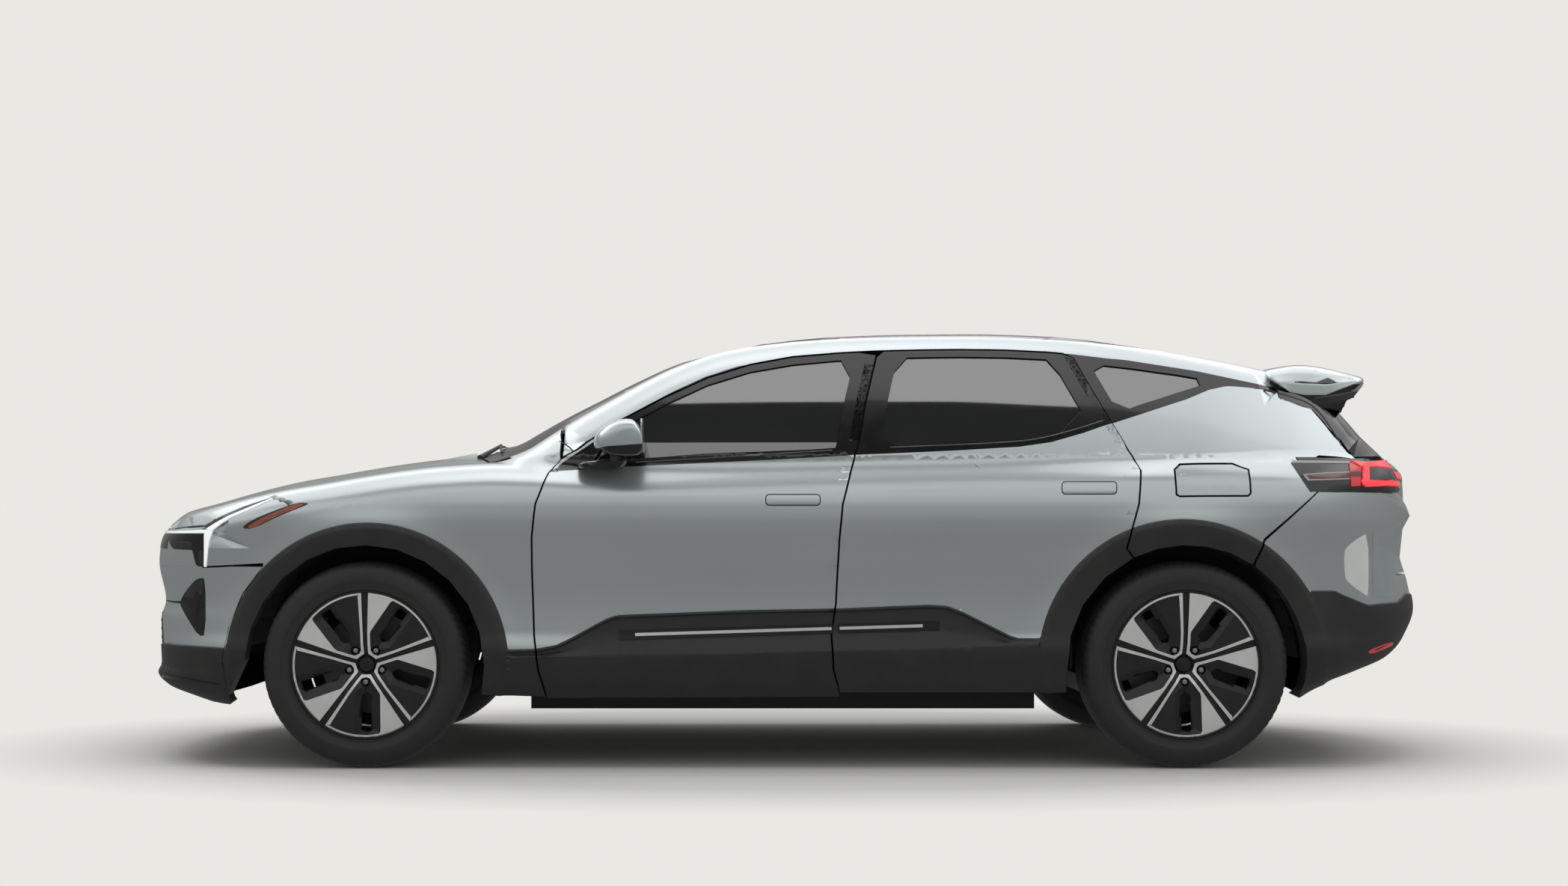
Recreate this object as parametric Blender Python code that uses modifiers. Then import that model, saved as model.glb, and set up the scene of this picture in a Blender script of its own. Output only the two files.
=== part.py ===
"""Electric sport utility vehicle, modelled as an assembly of its real panels, glass, wheels and cabin parts.

Metres, +Z up. +X points to the tail, +Y to the car's right side, and the origin lies on the ground below the
middle of the car's bounding box. The outer skin is one implicit surface, skin(), built from a few character
lines. Every panel is cast onto it, given its thickness, and trimmed with the shut lines seen from the side,
from above or from behind.
"""

import math

import bpy
import bmesh
import numpy as np
from mathutils import Matrix, Vector

# Driving dimensions
LENGTH = 4.90
HALF_LENGTH = LENGTH / 2
FRONT_OVERHANG = 0.885
WHEELBASE = 2.985
FRONT_AXLE_X = -HALF_LENGTH + FRONT_OVERHANG
REAR_AXLE_X = FRONT_AXLE_X + WHEELBASE
HALF_TRACK = 0.836
TYRE_RADIUS = 0.376
TYRE_WIDTH = 0.255
RIM_RADIUS = 0.273
ARCH_RADIUS = 0.437
FLARE_RADIUS = 0.515

# Clearances and thicknesses
SHUT_GAP = 0.007
FIT_GAP = 0.0003
DOOR_DEPTH = 0.11
FRAME_DEPTH = 0.05
GLASS_SHEET = 0.006
GLASS_INSET = 0.006

# Joint axes
FRONT_DOOR_HINGE_X = -0.957
REAR_DOOR_HINGE_X = 0.130
DOOR_HINGE_Y = 0.961
LID_HINGE = (1.3855, -0.960, 1.045)
BONNET_HINGE = (-1.03, 1.10)
TAILGATE_HINGE = (1.829, 1.5045)

SIDES = (("left", -1), ("right", 1))
STATION_STEP = 0.235
HEIGHT_STEP = 0.12
LENGTH_STEP = 0.16
FLAT_ANGLE = 0.1


# Curves and small maths

def line(*knots):
    """A smooth curve through (position, value) knots that never overshoots them, as a function on arrays."""
    at = np.array([k[0] for k in knots], float)
    value = np.array([k[1] for k in knots], float)
    step = np.diff(at)
    slope = np.diff(value) / step
    tangent = np.zeros(len(at))
    tangent[0], tangent[-1] = slope[0], slope[-1]
    for i in range(1, len(at) - 1):
        if slope[i - 1] * slope[i] > 0:
            near, far = 2 * step[i] + step[i - 1], step[i] + 2 * step[i - 1]
            tangent[i] = (near + far) / (near / slope[i - 1] + far / slope[i])

    def curve(x):
        x = np.asarray(x, float)
        i = np.clip(np.searchsorted(at, x) - 1, 0, len(step) - 1)
        t = np.clip((x - at[i]) / step[i], 0, 1)
        inside = ((1 + 2 * t) * (1 - t) ** 2 * value[i] + t * (1 - t) ** 2 * step[i] * tangent[i]
                  + t * t * (3 - 2 * t) * value[i + 1] + t * t * (t - 1) * step[i] * tangent[i + 1])
        before = np.minimum(x - at[0], 0) * tangent[0]
        after = np.maximum(x - at[-1], 0) * tangent[-1]
        return inside + before + after

    return curve


def ramp(x, low, high):
    """0 below low, 1 above high, smooth between."""
    t = np.clip((np.asarray(x, float) - low) / (high - low), 0, 1)
    return t * t * (3 - 2 * t)


def round_max(a, b, radius):
    """The larger of two distances, with a rounded outer corner."""
    u, v = np.maximum(a + radius, 0), np.maximum(b + radius, 0)
    return np.minimum(np.maximum(a, b), -radius) + np.hypot(u, v)


def round_min(a, b, radius):
    """The smaller of two distances, with a rounded inner corner."""
    return -round_max(-a, -b, radius)


# Character lines of the body

plan_half_width = line((-2.45, 0.925), (-1.9, 0.940), (-1.565, 0.956), (-1.0, 0.957), (-0.3, 0.955),
                       (0.5, 0.957), (1.0, 0.961), (1.42, 0.966), (1.75, 0.955), (2.1, 0.925), (2.45, 0.90))
side_tuck = line((0.20, 0.055), (0.25, 0.030), (0.31, 0.010), (0.42, 0.000), (0.50, 0.014), (0.62, 0.020),
                 (0.78, 0.010), (0.90, 0.000), (0.95, 0.004), (1.02, 0.019), (1.10, 0.050), (1.14, 0.082),
                 (1.20, 0.17), (1.30, 0.40))
nose_x = line((0.20, -2.12), (0.25, -2.30), (0.29, -2.41), (0.33, -2.447), (0.36, -2.432), (0.54, -2.440),
              (0.60, -2.424), (0.745, -2.450), (0.84, -2.436), (0.92, -2.39), (1.2, -2.2))
tail_x = line((0.25, 1.95), (0.30, 2.06), (0.34, 2.20), (0.39, 2.335), (0.46, 2.405), (0.57, 2.450),
              (0.67, 2.430), (0.79, 2.395), (0.90, 2.414), (1.06, 2.412), (1.16, 2.39), (1.3, 2.3))
hood_height = line((-2.46, 0.885), (-2.40, 0.925), (-2.33, 0.953), (-2.19, 0.992), (-2.04, 1.035), (-1.90, 1.068),
                   (-1.75, 1.094), (-1.60, 1.120), (-1.45, 1.142), (-1.30, 1.158), (-1.10, 1.168), (-0.6, 1.15),
                   (0.4, 1.17), (1.3, 1.19), (2.0, 1.18), (2.4, 1.15))
roof_height = line((-1.26, 1.08), (-1.20, 1.128), (-1.04, 1.228), (-0.90, 1.308), (-0.75, 1.384), (-0.60, 1.459),
                   (-0.46, 1.520), (-0.31, 1.567), (-0.16, 1.594), (0.13, 1.623), (0.42, 1.633), (0.71, 1.635),
                   (1.00, 1.626), (1.30, 1.597), (1.59, 1.549), (1.81, 1.507), (1.97, 1.465), (2.07, 1.405),
                   (2.16, 1.319), (2.30, 1.153), (2.40, 1.03))
cabin_half_width = line((-1.25, 0.74), (-0.9, 0.845), (-0.6, 0.872), (0.0, 0.882), (0.6, 0.884), (1.1, 0.872),
                        (1.5, 0.845), (1.85, 0.795), (2.1, 0.735), (2.4, 0.65))

HOOD_CROWN = 0.085
ROOF_CROWN = 0.070
GLASS_BOW = 0.12
ROOF_MIDDLE_X = 0.45
CABIN_LEAN = 0.60
CABIN_FOOT_Z = 1.14
CABIN_FLOOR_Z = 0.90
NOSE_START_X, NOSE_SQUARENESS = -1.85, 3.3
TAIL_START_X, TAIL_SQUARENESS = 1.75, 2.5
SHOULDER_ROUNDING = 0.085
CANT_ROUNDING = 0.06
FLARE_SWELL = 0.016
FLARE_SPREAD = 0.085


def flare_swell(x, z):
    """How far the skin swells out round both wheel arches."""
    swell = 0
    for axle_x in (FRONT_AXLE_X, REAR_AXLE_X):
        r = np.hypot(x - axle_x, z - TYRE_RADIUS)
        swell = swell + FLARE_SWELL * np.exp(-(((r - ARCH_RADIUS - 0.03) / FLARE_SPREAD) ** 2))
    return swell * ramp(z, 0.3, 0.45)


def lower_body(x, y, z):
    """Distance to the body below the windows: side walls with rounded ends in plan, topped by the bonnet."""
    wall = np.maximum(plan_half_width(x) - side_tuck(z) + flare_swell(x, z), 0.4)
    nose = np.clip((NOSE_START_X - x) / (NOSE_START_X - nose_x(z)), 0, None)
    tail = np.clip((x - TAIL_START_X) / (tail_x(z) - TAIL_START_X), 0, None)
    n = np.where(x < 0, NOSE_SQUARENESS, TAIL_SQUARENESS)
    reach = ((nose + tail) ** n + np.abs(y / wall) ** n) ** (1 / n)
    top = z - hood_height(x) + HOOD_CROWN * y * y
    return round_max((reach - 1) * wall, top, SHOULDER_ROUNDING)


def cabin(x, y, z):
    """Distance to the cabin above the waist: sides that lean in, under the screen, roof and rear window line."""
    side = np.abs(y) - cabin_half_width(x) + CABIN_LEAN * np.maximum(z - CABIN_FOOT_Z, 0)
    bowed = ROOF_MIDDLE_X + (x - ROOF_MIDDLE_X) * (1 + GLASS_BOW * y * y)
    top = z - roof_height(bowed) + ROOF_CROWN * y * y
    return np.maximum(round_max(side * 0.86, top * 0.86, CANT_ROUNDING), CABIN_FLOOR_Z - z)


def skin(x, y, z):
    """Negative inside the car's outer skin, zero on it."""
    blend = 0.012 + 0.11 * ramp(x, 0.9, 1.5) * (1 - ramp(x, 2.15, 2.38)) + 0.05 * ramp(-x, 0.6, 1.0)
    return round_min(lower_body(x, y, z), cabin(x, y, z), blend)


def cast(start, direction, reach=1.6):
    """Where rays from inside the car leave the skin, by halving."""
    start, direction = np.broadcast_arrays(np.asarray(start, float), np.asarray(direction, float))
    low, high = np.zeros(start.shape[:-1]), np.full(start.shape[:-1], reach)
    for _ in range(34):
        middle = (low + high) / 2
        p = start + direction * middle[..., None]
        inside = skin(p[..., 0], p[..., 1], p[..., 2]) < 0
        low, high = np.where(inside, middle, low), np.where(inside, high, middle)
    return start + direction * low[..., None]


# Mesh helpers

parts = bpy.data.collections.new("electric_suv")
tools = bpy.data.collections.new("cutters")


def start_scene():
    for old in list(bpy.data.objects):
        bpy.data.objects.remove(old)
    bpy.context.scene.collection.children.link(parts)
    bpy.context.scene.collection.children.link(tools)


def new_object(name, mesh, collection=None):
    obj = bpy.data.objects.new(name, mesh)
    (collection or tools).objects.link(obj)
    return obj


def mesh_from_bmesh(name, bm):
    bmesh.ops.recalc_face_normals(bm, faces=bm.faces)
    mesh = bpy.data.meshes.new(name)
    bm.to_mesh(mesh)
    bm.free()
    return new_object(name, mesh)


def sheet(name, outer, inner):
    """A closed wall lofted between two grids of points that have the same rows and columns."""
    rows, columns = outer.shape[:2]
    points = np.concatenate([outer.reshape(-1, 3), inner.reshape(-1, 3)])
    index = np.arange(rows * columns).reshape(rows, columns)
    quads = np.stack([index[:-1, :-1], index[1:, :-1], index[1:, 1:], index[:-1, 1:]], -1).reshape(-1, 4)
    ring = np.concatenate([index[0, :-1], index[:-1, -1], index[-1, :0:-1], index[:0:-1, 0]])
    after = np.roll(ring, -1)
    shift = rows * columns
    rim = np.stack([ring, after, after + shift, ring + shift], -1)
    faces = np.concatenate([quads, quads[:, ::-1] + shift, rim])
    bm = bmesh.new()
    for p in points:
        bm.verts.new(p)
    bm.verts.ensure_lookup_table()
    for f in faces:
        bm.faces.new([bm.verts[i] for i in f])
    bmesh.ops.triangulate(bm, faces=bm.faces)
    return mesh_from_bmesh(name, bm)


def prism(name, outlines, axis, low, high):
    """A flat outline, with holes if there are more, extruded along axis from low to high.

    Outlines are (first, second) coordinates: (x, z) along Y, (x, y) along Z, (y, z) along X.
    """
    curve = bpy.data.curves.new(name, "CURVE")
    curve.dimensions = "2D"
    curve.fill_mode = "BOTH"
    curve.extrude = (high - low) / 2
    for outline in outlines:
        spline = curve.splines.new("POLY")
        spline.points.add(len(outline) - 1)
        spline.use_cyclic_u = True
        for point, (first, second) in zip(spline.points, outline):
            point.co = (first, second, 0, 1)
    obj = new_object(name, curve)
    middle = (low + high) / 2
    obj.matrix_world = {
        "Y": Matrix(((1, 0, 0, 0), (0, 0, -1, middle), (0, 1, 0, 0), (0, 0, 0, 1))),
        "Z": Matrix(((1, 0, 0, 0), (0, 1, 0, 0), (0, 0, 1, middle), (0, 0, 0, 1))),
        "X": Matrix(((0, 0, 1, middle), (1, 0, 0, 0), (0, 1, 0, 0), (0, 0, 0, 1))),
    }[axis]
    return to_mesh(obj)


def evaluated_mesh(obj):
    bpy.context.view_layer.update()
    graph = bpy.context.evaluated_depsgraph_get()
    return bpy.data.meshes.new_from_object(obj.evaluated_get(graph))


def to_mesh(obj):
    """The object as a plain welded mesh in world space, with its modifiers applied."""
    name = obj.name
    mesh = evaluated_mesh(obj)
    mesh.transform(obj.matrix_world)
    bpy.data.objects.remove(obj)
    bm = bmesh.new()
    bm.from_mesh(mesh)
    bmesh.ops.remove_doubles(bm, verts=bm.verts, dist=1e-6)
    return mesh_from_bmesh(name, bm)


def combine(target, other, operation, keep=False):
    """Cuts, joins or intersects target with other, and removes other unless it is kept."""
    modifier = target.modifiers.new("combine", "BOOLEAN")
    modifier.operation = operation
    modifier.solver = "EXACT"
    modifier.object = other
    mesh = evaluated_mesh(target)
    target.modifiers.clear()
    target.data = mesh
    if not keep:
        bpy.data.objects.remove(other)
    return target


def cut(target, *others):
    for other in others:
        combine(target, other, "DIFFERENCE")
    return target


def join(target, *others):
    for other in others:
        combine(target, other, "UNION")
    return target


def trim(target, *others):
    for other in others:
        combine(target, other, "INTERSECT")
    return target


def box(name, low, high):
    bm = bmesh.new()
    bmesh.ops.create_cube(bm, size=1)
    size = Vector(high) - Vector(low)
    bmesh.ops.scale(bm, vec=size, verts=bm.verts)
    bmesh.ops.translate(bm, vec=(Vector(high) + Vector(low)) / 2, verts=bm.verts)
    return mesh_from_bmesh(name, bm)


def rod(name, start, end, radius, segments=16):
    """A round bar between two points."""
    start, end = Vector(start), Vector(end)
    bm = bmesh.new()
    bmesh.ops.create_cone(bm, cap_ends=True, segments=segments, radius1=radius, radius2=radius,
                          depth=(end - start).length)
    turn = (end - start).to_track_quat("Z", "Y").to_matrix().to_4x4()
    bmesh.ops.transform(bm, matrix=Matrix.Translation((start + end) / 2) @ turn, verts=bm.verts)
    return mesh_from_bmesh(name, bm)


def turned(name, profile, steps=36):
    """A profile of (radius, height along Y) points turned about the Y axis; it runs down the outer side."""
    mesh = bpy.data.meshes.new(name)
    count = len(profile)
    closed = [(i, (i + 1) % count) for i in range(count)]
    mesh.from_pydata([(r, 0, h) for r, h in profile], closed, [])
    obj = new_object(name, mesh)
    screw = obj.modifiers.new("turn", "SCREW")
    screw.steps = screw.render_steps = steps
    screw.use_merge_vertices = True
    screw.merge_threshold = 0.0001
    obj.matrix_world = Matrix.Rotation(math.radians(-90), 4, "X")
    return to_mesh(obj)


def mirror_copy(obj, name):
    """The same piece on the car's other side."""
    mesh = obj.data.copy()
    mesh.transform(Matrix.Scale(-1, 4, (0, 1, 0)))
    bm = bmesh.new()
    bm.from_mesh(mesh)
    return mesh_from_bmesh(name, bm)


def moved(obj, offset):
    obj.data.transform(Matrix.Translation(offset))
    return obj


MATERIALS = {
    "paint": ((0.55, 0.59, 0.60), 0.28, 0.55),
    "cladding": ((0.022, 0.022, 0.022), 0.55, 0.0),
    "dark_glass": ((0.02, 0.022, 0.024), 0.05, 0.0),
    "rubber": ((0.025, 0.025, 0.025), 0.8, 0.0),
    "alloy": ((0.62, 0.63, 0.64), 0.3, 0.9),
    "steel": ((0.30, 0.30, 0.31), 0.45, 0.8),
    "underbody": ((0.04, 0.04, 0.042), 0.7, 0.0),
    "fabric": ((0.06, 0.06, 0.065), 0.9, 0.0),
    "lamp_red": ((0.55, 0.02, 0.03), 0.15, 0.0),
    "lamp_clear": ((0.75, 0.77, 0.80), 0.08, 0.0),
}


def plain_faces(obj):
    """Flat neighbours joined into one face and slivers closed, as far as the mesh stays closed."""
    for merge, angle in ((2e-5, FLAT_ANGLE), (1e-6, FLAT_ANGLE), (1e-6, 0.02)):
        bm = bmesh.new()
        bm.from_mesh(obj.data)
        bmesh.ops.remove_doubles(bm, verts=bm.verts, dist=merge)
        bmesh.ops.dissolve_degenerate(bm, dist=merge, edges=bm.edges)
        bmesh.ops.dissolve_limit(bm, angle_limit=math.radians(angle), verts=bm.verts, edges=bm.edges)
        bmesh.ops.triangulate(bm, faces=bm.faces)
        closed = all(len(e.link_faces) == 2 for e in bm.edges)
        if closed:
            bm.to_mesh(obj.data)
        bm.free()
        if closed:
            return


def finish(obj, name, material):
    """Names the piece, gives it its finish and makes it a node of the car."""
    plain_faces(obj)
    obj.data.shade_smooth()
    obj.data.set_sharp_from_angle(angle=math.radians(30))
    obj.name = obj.data.name = name
    known = bpy.data.materials.get(material)
    if known is None:
        known = bpy.data.materials.new(material)
        known.use_nodes = True
        shader = known.node_tree.nodes["Principled BSDF"]
        colour, roughness, metallic = MATERIALS[material]
        shader.inputs["Base Color"].default_value = (*colour, 1)
        shader.inputs["Roughness"].default_value = roughness
        shader.inputs["Metallic"].default_value = metallic
    obj.data.materials.clear()
    obj.data.materials.append(known)
    for collection in obj.users_collection:
        collection.objects.unlink(obj)
    parts.objects.link(obj)
    return obj


def both_sides(build, name, material):
    """Builds a piece once, for the right side at +Y, and mirrors it to the left."""
    right = build(f"{name}_right")
    left = mirror_copy(right, f"{name}_left")
    finish(left, f"{name}_left", material)
    finish(right, f"{name}_right", material)
    return left, right


# Shut lines seen from the side, as x at a height z

front_door_edge = line((0.22, -0.892), (0.253, -0.901), (0.41, -0.944), (0.43, -0.946), (0.64, -0.955),
                       (0.80, -0.959), (0.98, -0.942), (1.05, -0.920), (1.085, -0.895))
b_line = line((0.22, 0.176), (0.282, 0.160), (0.43, 0.128), (0.60, 0.148), (0.78, 0.157), (0.944, 0.170),
              (1.036, 0.191), (1.16, 0.231), (1.30, 0.258), (1.54, 0.320), (1.60, 0.336))
rear_door_edge = line((0.66, 1.158), (0.757, 1.188), (0.857, 1.216), (0.917, 1.236), (1.016, 1.256),
                      (1.109, 1.262), (1.19, 1.214), (1.273, 1.171), (1.40, 1.110), (1.54, 1.046), (1.60, 1.015))
waist_z = line((-0.90, 1.078), (-0.60, 1.100), (0.0, 1.127), (0.23, 1.139), (0.63, 1.160), (0.82, 1.169),
               (0.94, 1.183), (1.06, 1.215), (1.17, 1.262), (1.37, 1.331), (1.47, 1.362), (1.586, 1.397),
               (1.70, 1.43))
cant_z = line((-0.90, 1.105), (-0.82, 1.15), (-0.73, 1.205), (-0.613, 1.287), (-0.437, 1.382), (-0.28, 1.452),
              (-0.12, 1.497), (0.0, 1.517), (0.33, 1.541), (0.66, 1.547), (0.98, 1.536), (1.10, 1.523),
              (1.26, 1.505), (1.50, 1.470), (1.73, 1.421), (1.90, 1.378))

WINDOW_MARGIN = 0.028


def shared_points(curve, first, last, step):
    """Points from first to last on the polyline that every piece beside this line shares."""
    low, high = min(first, last), max(first, last)
    grid = np.arange(math.floor(low / step), math.ceil(high / step) + 1) * step
    inner = grid[(grid > low + 0.004) & (grid < high - 0.004)]
    at = np.concatenate([[low], inner, [high]])
    pairs = [(float(a), float(v)) for a, v in zip(at, np.interp(at, grid, curve(grid)))]
    return pairs if first < last else pairs[::-1]


def along(curve, low, high, offset=0.0):
    """Points (x, z) down a line given as x at each z."""
    return [(x + offset, z) for z, x in shared_points(curve, low, high, HEIGHT_STEP)]


def across(curve, low, high, offset=0.0):
    """Points (x, z) along a line given as z at each x."""
    return [(x, z + offset) for x, z in shared_points(curve, low, high, LENGTH_STEP)]


def shrunk(outline, gap):
    """The outline with every side moved inwards by a gap, or outwards by a negative one."""
    p = np.array(outline, float)
    side = np.roll(p, -1, axis=0) - p
    side /= np.linalg.norm(side, axis=1)[:, None]
    turning = np.sign(np.sum(p[:, 0] * np.roll(p[:, 1], -1) - np.roll(p[:, 0], -1) * p[:, 1]))
    inward = np.stack([-side[:, 1], side[:, 0]], -1) * turning
    before = np.roll(inward, 1, axis=0)
    shift = (inward + before) / (1 + np.sum(inward * before, axis=1))[:, None]
    return [(float(x), float(z)) for x, z in p + shift * gap]


def arc(centre, radius, start, end, count):
    """Points on a circle between two angles in degrees, measured from +X towards +Z."""
    return [(centre[0] + radius * math.cos(math.radians(a)), centre[1] + radius * math.sin(math.radians(a)))
            for a in np.linspace(start, end, count)]


def door_depth(z):
    """How thick a door is at a height: deep below the waist, slim round the window."""
    return DOOR_DEPTH - (DOOR_DEPTH - FRAME_DEPTH) * ramp(z, 1.02, 1.12)


HALF_GAP = SHUT_GAP / 2

# Ray fans that reach the skin: stations are (start x, yaw from +Y towards +X), levels are (start z, pitch)

LOW_LEVELS = ((0.22, 0), (0.30, 0), (0.42, 0), (0.50, 0), (0.64, 0), (0.80, 0))
SIDE_LEVELS = LOW_LEVELS + ((0.92, 0), (1.01, 0), (1.10, 0), (1.10, 6), (1.10, 18), (1.10, 30), (1.10, 36),
                            (1.10, 41), (1.10, 46), (1.10, 53))
FENDER_LEVELS = LOW_LEVELS + ((0.80, 7), (0.80, 12), (0.80, 17), (0.80, 22), (0.80, 28), (0.80, 35))
NOSE_FOCUS_X = -1.72
TAIL_FOCUS_X = 1.62


def spread(low, high, step):
    """Evenly spaced lateral stations from low to high, at most step apart."""
    return tuple((float(x), 0) for x in np.linspace(low, high, max(2, math.ceil((high - low) / step) + 1)))


def side_stations(low, high):
    """The lateral stations that all side panels share, from the one before low to the one after high."""
    first = math.floor((TAIL_FOCUS_X - high) / STATION_STEP)
    last = math.ceil((TAIL_FOCUS_X - low) / STATION_STEP)
    return tuple((TAIL_FOCUS_X - STATION_STEP * k, 0) for k in range(last, first - 1, -1))


def panel(name, stations, levels, near, far):
    """A wall between two depths under the skin, reached by a fan of rays from the car's middle plane."""
    x0, yaw = (np.array([s[i] for s in stations], float)[:, None] for i in (0, 1))
    z0, pitch = (np.array([v[i] for v in levels], float)[None, :] for i in (0, 1))
    yaw, pitch = np.radians(yaw), np.radians(pitch)
    zero = 0 * x0 + 0 * z0
    start = np.stack([x0 + zero, zero, z0 + zero], -1)
    direction = np.stack([np.sin(yaw) * np.cos(pitch), np.cos(yaw) * np.cos(pitch), np.sin(pitch) + zero], -1)
    return skin_sheet(name, start, direction, near, far)


def skin_sheet(name, start, direction, near, far):
    surface = cast(start, direction)
    depths = [d(surface[..., 2])[..., None] if callable(d) else d for d in (near, far)]
    return sheet(name, surface - direction * depths[0], surface - direction * depths[1])


def top_panel(name, xs, ys, near, far, floor_z):
    """A wall reached by rays straight up from a height inside the car."""
    x, y = np.meshgrid(xs, ys, indexing="ij")
    start = np.stack([x, y, 0 * x + floor_z], -1)
    return skin_sheet(name, start, np.array([0.0, 0.0, 1.0]), near, far)


def side_prism(name, outlines, low=0.3, high=1.3):
    return prism(name, outlines, "Y", low, high)


# Doors

DOOR_FLANGE = 0.014
LATCH_STEP = 0.032
OVERLAP = 0.004


def door_outline_front(gap, latch_step=0.0):
    """The front door seen from the side, gap inside its shut lines."""
    hinge = along(front_door_edge, 0.262, 1.072, gap)
    post = across(cant_z, -0.858, float(b_line(1.50)) - 0.06 - latch_step, -gap)
    latch = along(b_line, 1.527 - gap, 0.266, -gap - latch_step)
    return hinge + post + latch


def window_outline_front():
    """The glass opening of the front door."""
    top = across(cant_z, -0.66, float(b_line(1.47)) - 0.12, -WINDOW_MARGIN)
    rear = along(b_line, 1.44, 1.165, -0.080)
    foot = across(waist_z, 0.06, -0.74, WINDOW_MARGIN)
    return top + rear + foot


def door_outline_rear(gap, latch_step=0.0):
    """The rear door, with the front of the wheel arch cut out of its lower corner."""
    hinge = along(b_line, 0.278, 1.52 - gap, gap)
    top = across(cant_z, float(b_line(1.54)) + gap + 0.02, 1.02 - latch_step, -gap)
    latch = along(rear_door_edge, 1.515, 0.80, -gap - latch_step)
    wheel = arc((REAR_AXLE_X, TYRE_RADIUS), ARCH_RADIUS, 117, 183, 5)
    return hinge + top + latch + wheel + [(0.984, 0.278)]


def window_outline_rear():
    """The glass opening of the rear door."""
    front = along(b_line, 1.205, 1.46, 0.080)
    top = across(cant_z, float(b_line(1.50)) + 0.12, 0.955, -WINDOW_MARGIN)
    back = along(rear_door_edge, 1.45, 1.31, -0.085)
    foot = across(waist_z, 0.98, 0.37, WINDOW_MARGIN)
    return front + top + back + foot


def window_outline_quarter():
    """The fixed pane behind the rear door."""
    front = along(rear_door_edge, 1.345, 1.465, 0.050)
    top = across(cant_z, 1.17, 1.52, -WINDOW_MARGIN)
    foot = across(waist_z, 1.53, 1.25, WINDOW_MARGIN)
    return front + top + foot


def build_door(name, stations, outline, window):
    outer = panel(name, stations, SIDE_LEVELS[:-2], 0.0, DOOR_FLANGE)
    inner = panel("inner", stations, SIDE_LEVELS[:-2], DOOR_FLANGE - OVERLAP, door_depth)
    trim(outer, side_prism("outline", [outline(HALF_GAP)]))
    trim(inner, side_prism("outline", [outline(HALF_GAP, LATCH_STEP)]))
    return cut(join(outer, inner), side_prism("window", [window()]))


def build_front_door(name):
    return build_door(name, side_stations(-0.96, 0.34), door_outline_front, window_outline_front)


def build_rear_door(name):
    return build_door(name, side_stations(0.12, 1.27), door_outline_rear, window_outline_rear)


def glass_builder(outline, low_x, high_x):
    """A pane that lies just under the skin and fills its window to the fit gap."""
    def build(name):
        pane = panel(name, side_stations(low_x, high_x), SIDE_LEVELS[7:-2], GLASS_INSET, GLASS_INSET + GLASS_SHEET)
        return trim(pane, side_prism("outline", [shrunk(outline(), FIT_GAP)]))
    return build


# Lines seen from above and behind

top_edge_y = line((-1.30, 0.76), (-0.90, 0.715), (-0.35, 0.60), (0.0, 0.575), (1.0, 0.575), (1.9, 0.54))
bonnet_edge_y = line((-2.50, 0.60), (-2.30, 0.66), (-2.0, 0.725), (-1.5, 0.765), (-1.05, 0.775))
tailgate_line = line((1.10, 2.085), (1.19, 2.044), (1.305, 1.962), (1.341, 1.931), (1.363, 1.861), (1.38, 1.80))

BONNET_REAR_X = -1.245
COWL_REAR_X = -1.15
SCREEN_TOP_X = -0.32
ROOF_REAR_X = 1.83
TAILGATE_HALF_WIDTH = 0.66
TAILGATE_FOOT_Z = 0.70
TAILGATE_DEPTH = 0.055
BONNET_DEPTH = 0.035
FENDER_DEPTH = 0.07
BUMPER_DEPTH = 0.07
LAMP_TOP_Z = 1.128
LAMP_FOOT_Z = 1.004
BONNET_TIP_Z = 0.868
HEADLAMP_FOOT_Z = 0.733
HEADLAMP_INNER_Y = 0.46
FENDER_FRONT_X = -2.163
BUMPER_SEAM_FRONT = ((-1.935, 0.742), (-2.163, 0.731))
BUMPER_SEAM_REAR = ((1.703, 0.832), (1.905, 1.004))
LAMP_CORNER_X = 1.845


def bowed_back(x, y):
    """Where a cross line that starts at x on the middle plane passes at a distance y from it."""
    return ROOF_MIDDLE_X + (x - ROOF_MIDDLE_X) / (1 + GLASS_BOW * y * y)


def cross_line(x, half_width, count, gap=0.0):
    """Plan points of a bowed cross line from the left edge to the right edge."""
    y = np.linspace(-half_width, half_width, count)
    return [(float(bowed_back(x, b)) + gap, float(b)) for b in y]


def side_edges(edge, front_x, rear_x, gap):
    """The right edge from front to rear and the left edge back, in plan."""
    right = [(x, y - gap) for x, y in shared_points(edge, front_x, rear_x, LENGTH_STEP)]
    return right, [(x, -y) for x, y in reversed(right)]


def plan_strip(name, front, rear, edge, edge_gap, low, high):
    """A solid between two plan cross lines and a side edge on both sides."""
    right, left = side_edges(edge, front[-1][0], rear[-1][0], edge_gap)
    return prism(name, [front + right[1:-1] + rear[::-1] + left[1:-1]], "Z", low, high)


def shared_value(edge, x):
    """The half width at x on the polyline that the neighbours share."""
    return shared_points(edge, x, x + LENGTH_STEP, LENGTH_STEP)[0][1]


def half_width_at(edge, x):
    """The half width where a bowed cross line meets the side edge."""
    y = shared_value(edge, x)
    for _ in range(6):
        y = shared_value(edge, float(bowed_back(x, y)))
    return y


def edge_strip(edge, x_front, x_rear, gap, low, high, name="strip"):
    """Everything above a height between the two side edges of the bonnet, the screen or the roof."""
    right, left = side_edges(edge, x_front, x_rear, gap)
    return prism(name, [right + left], "Z", low, high)


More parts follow.
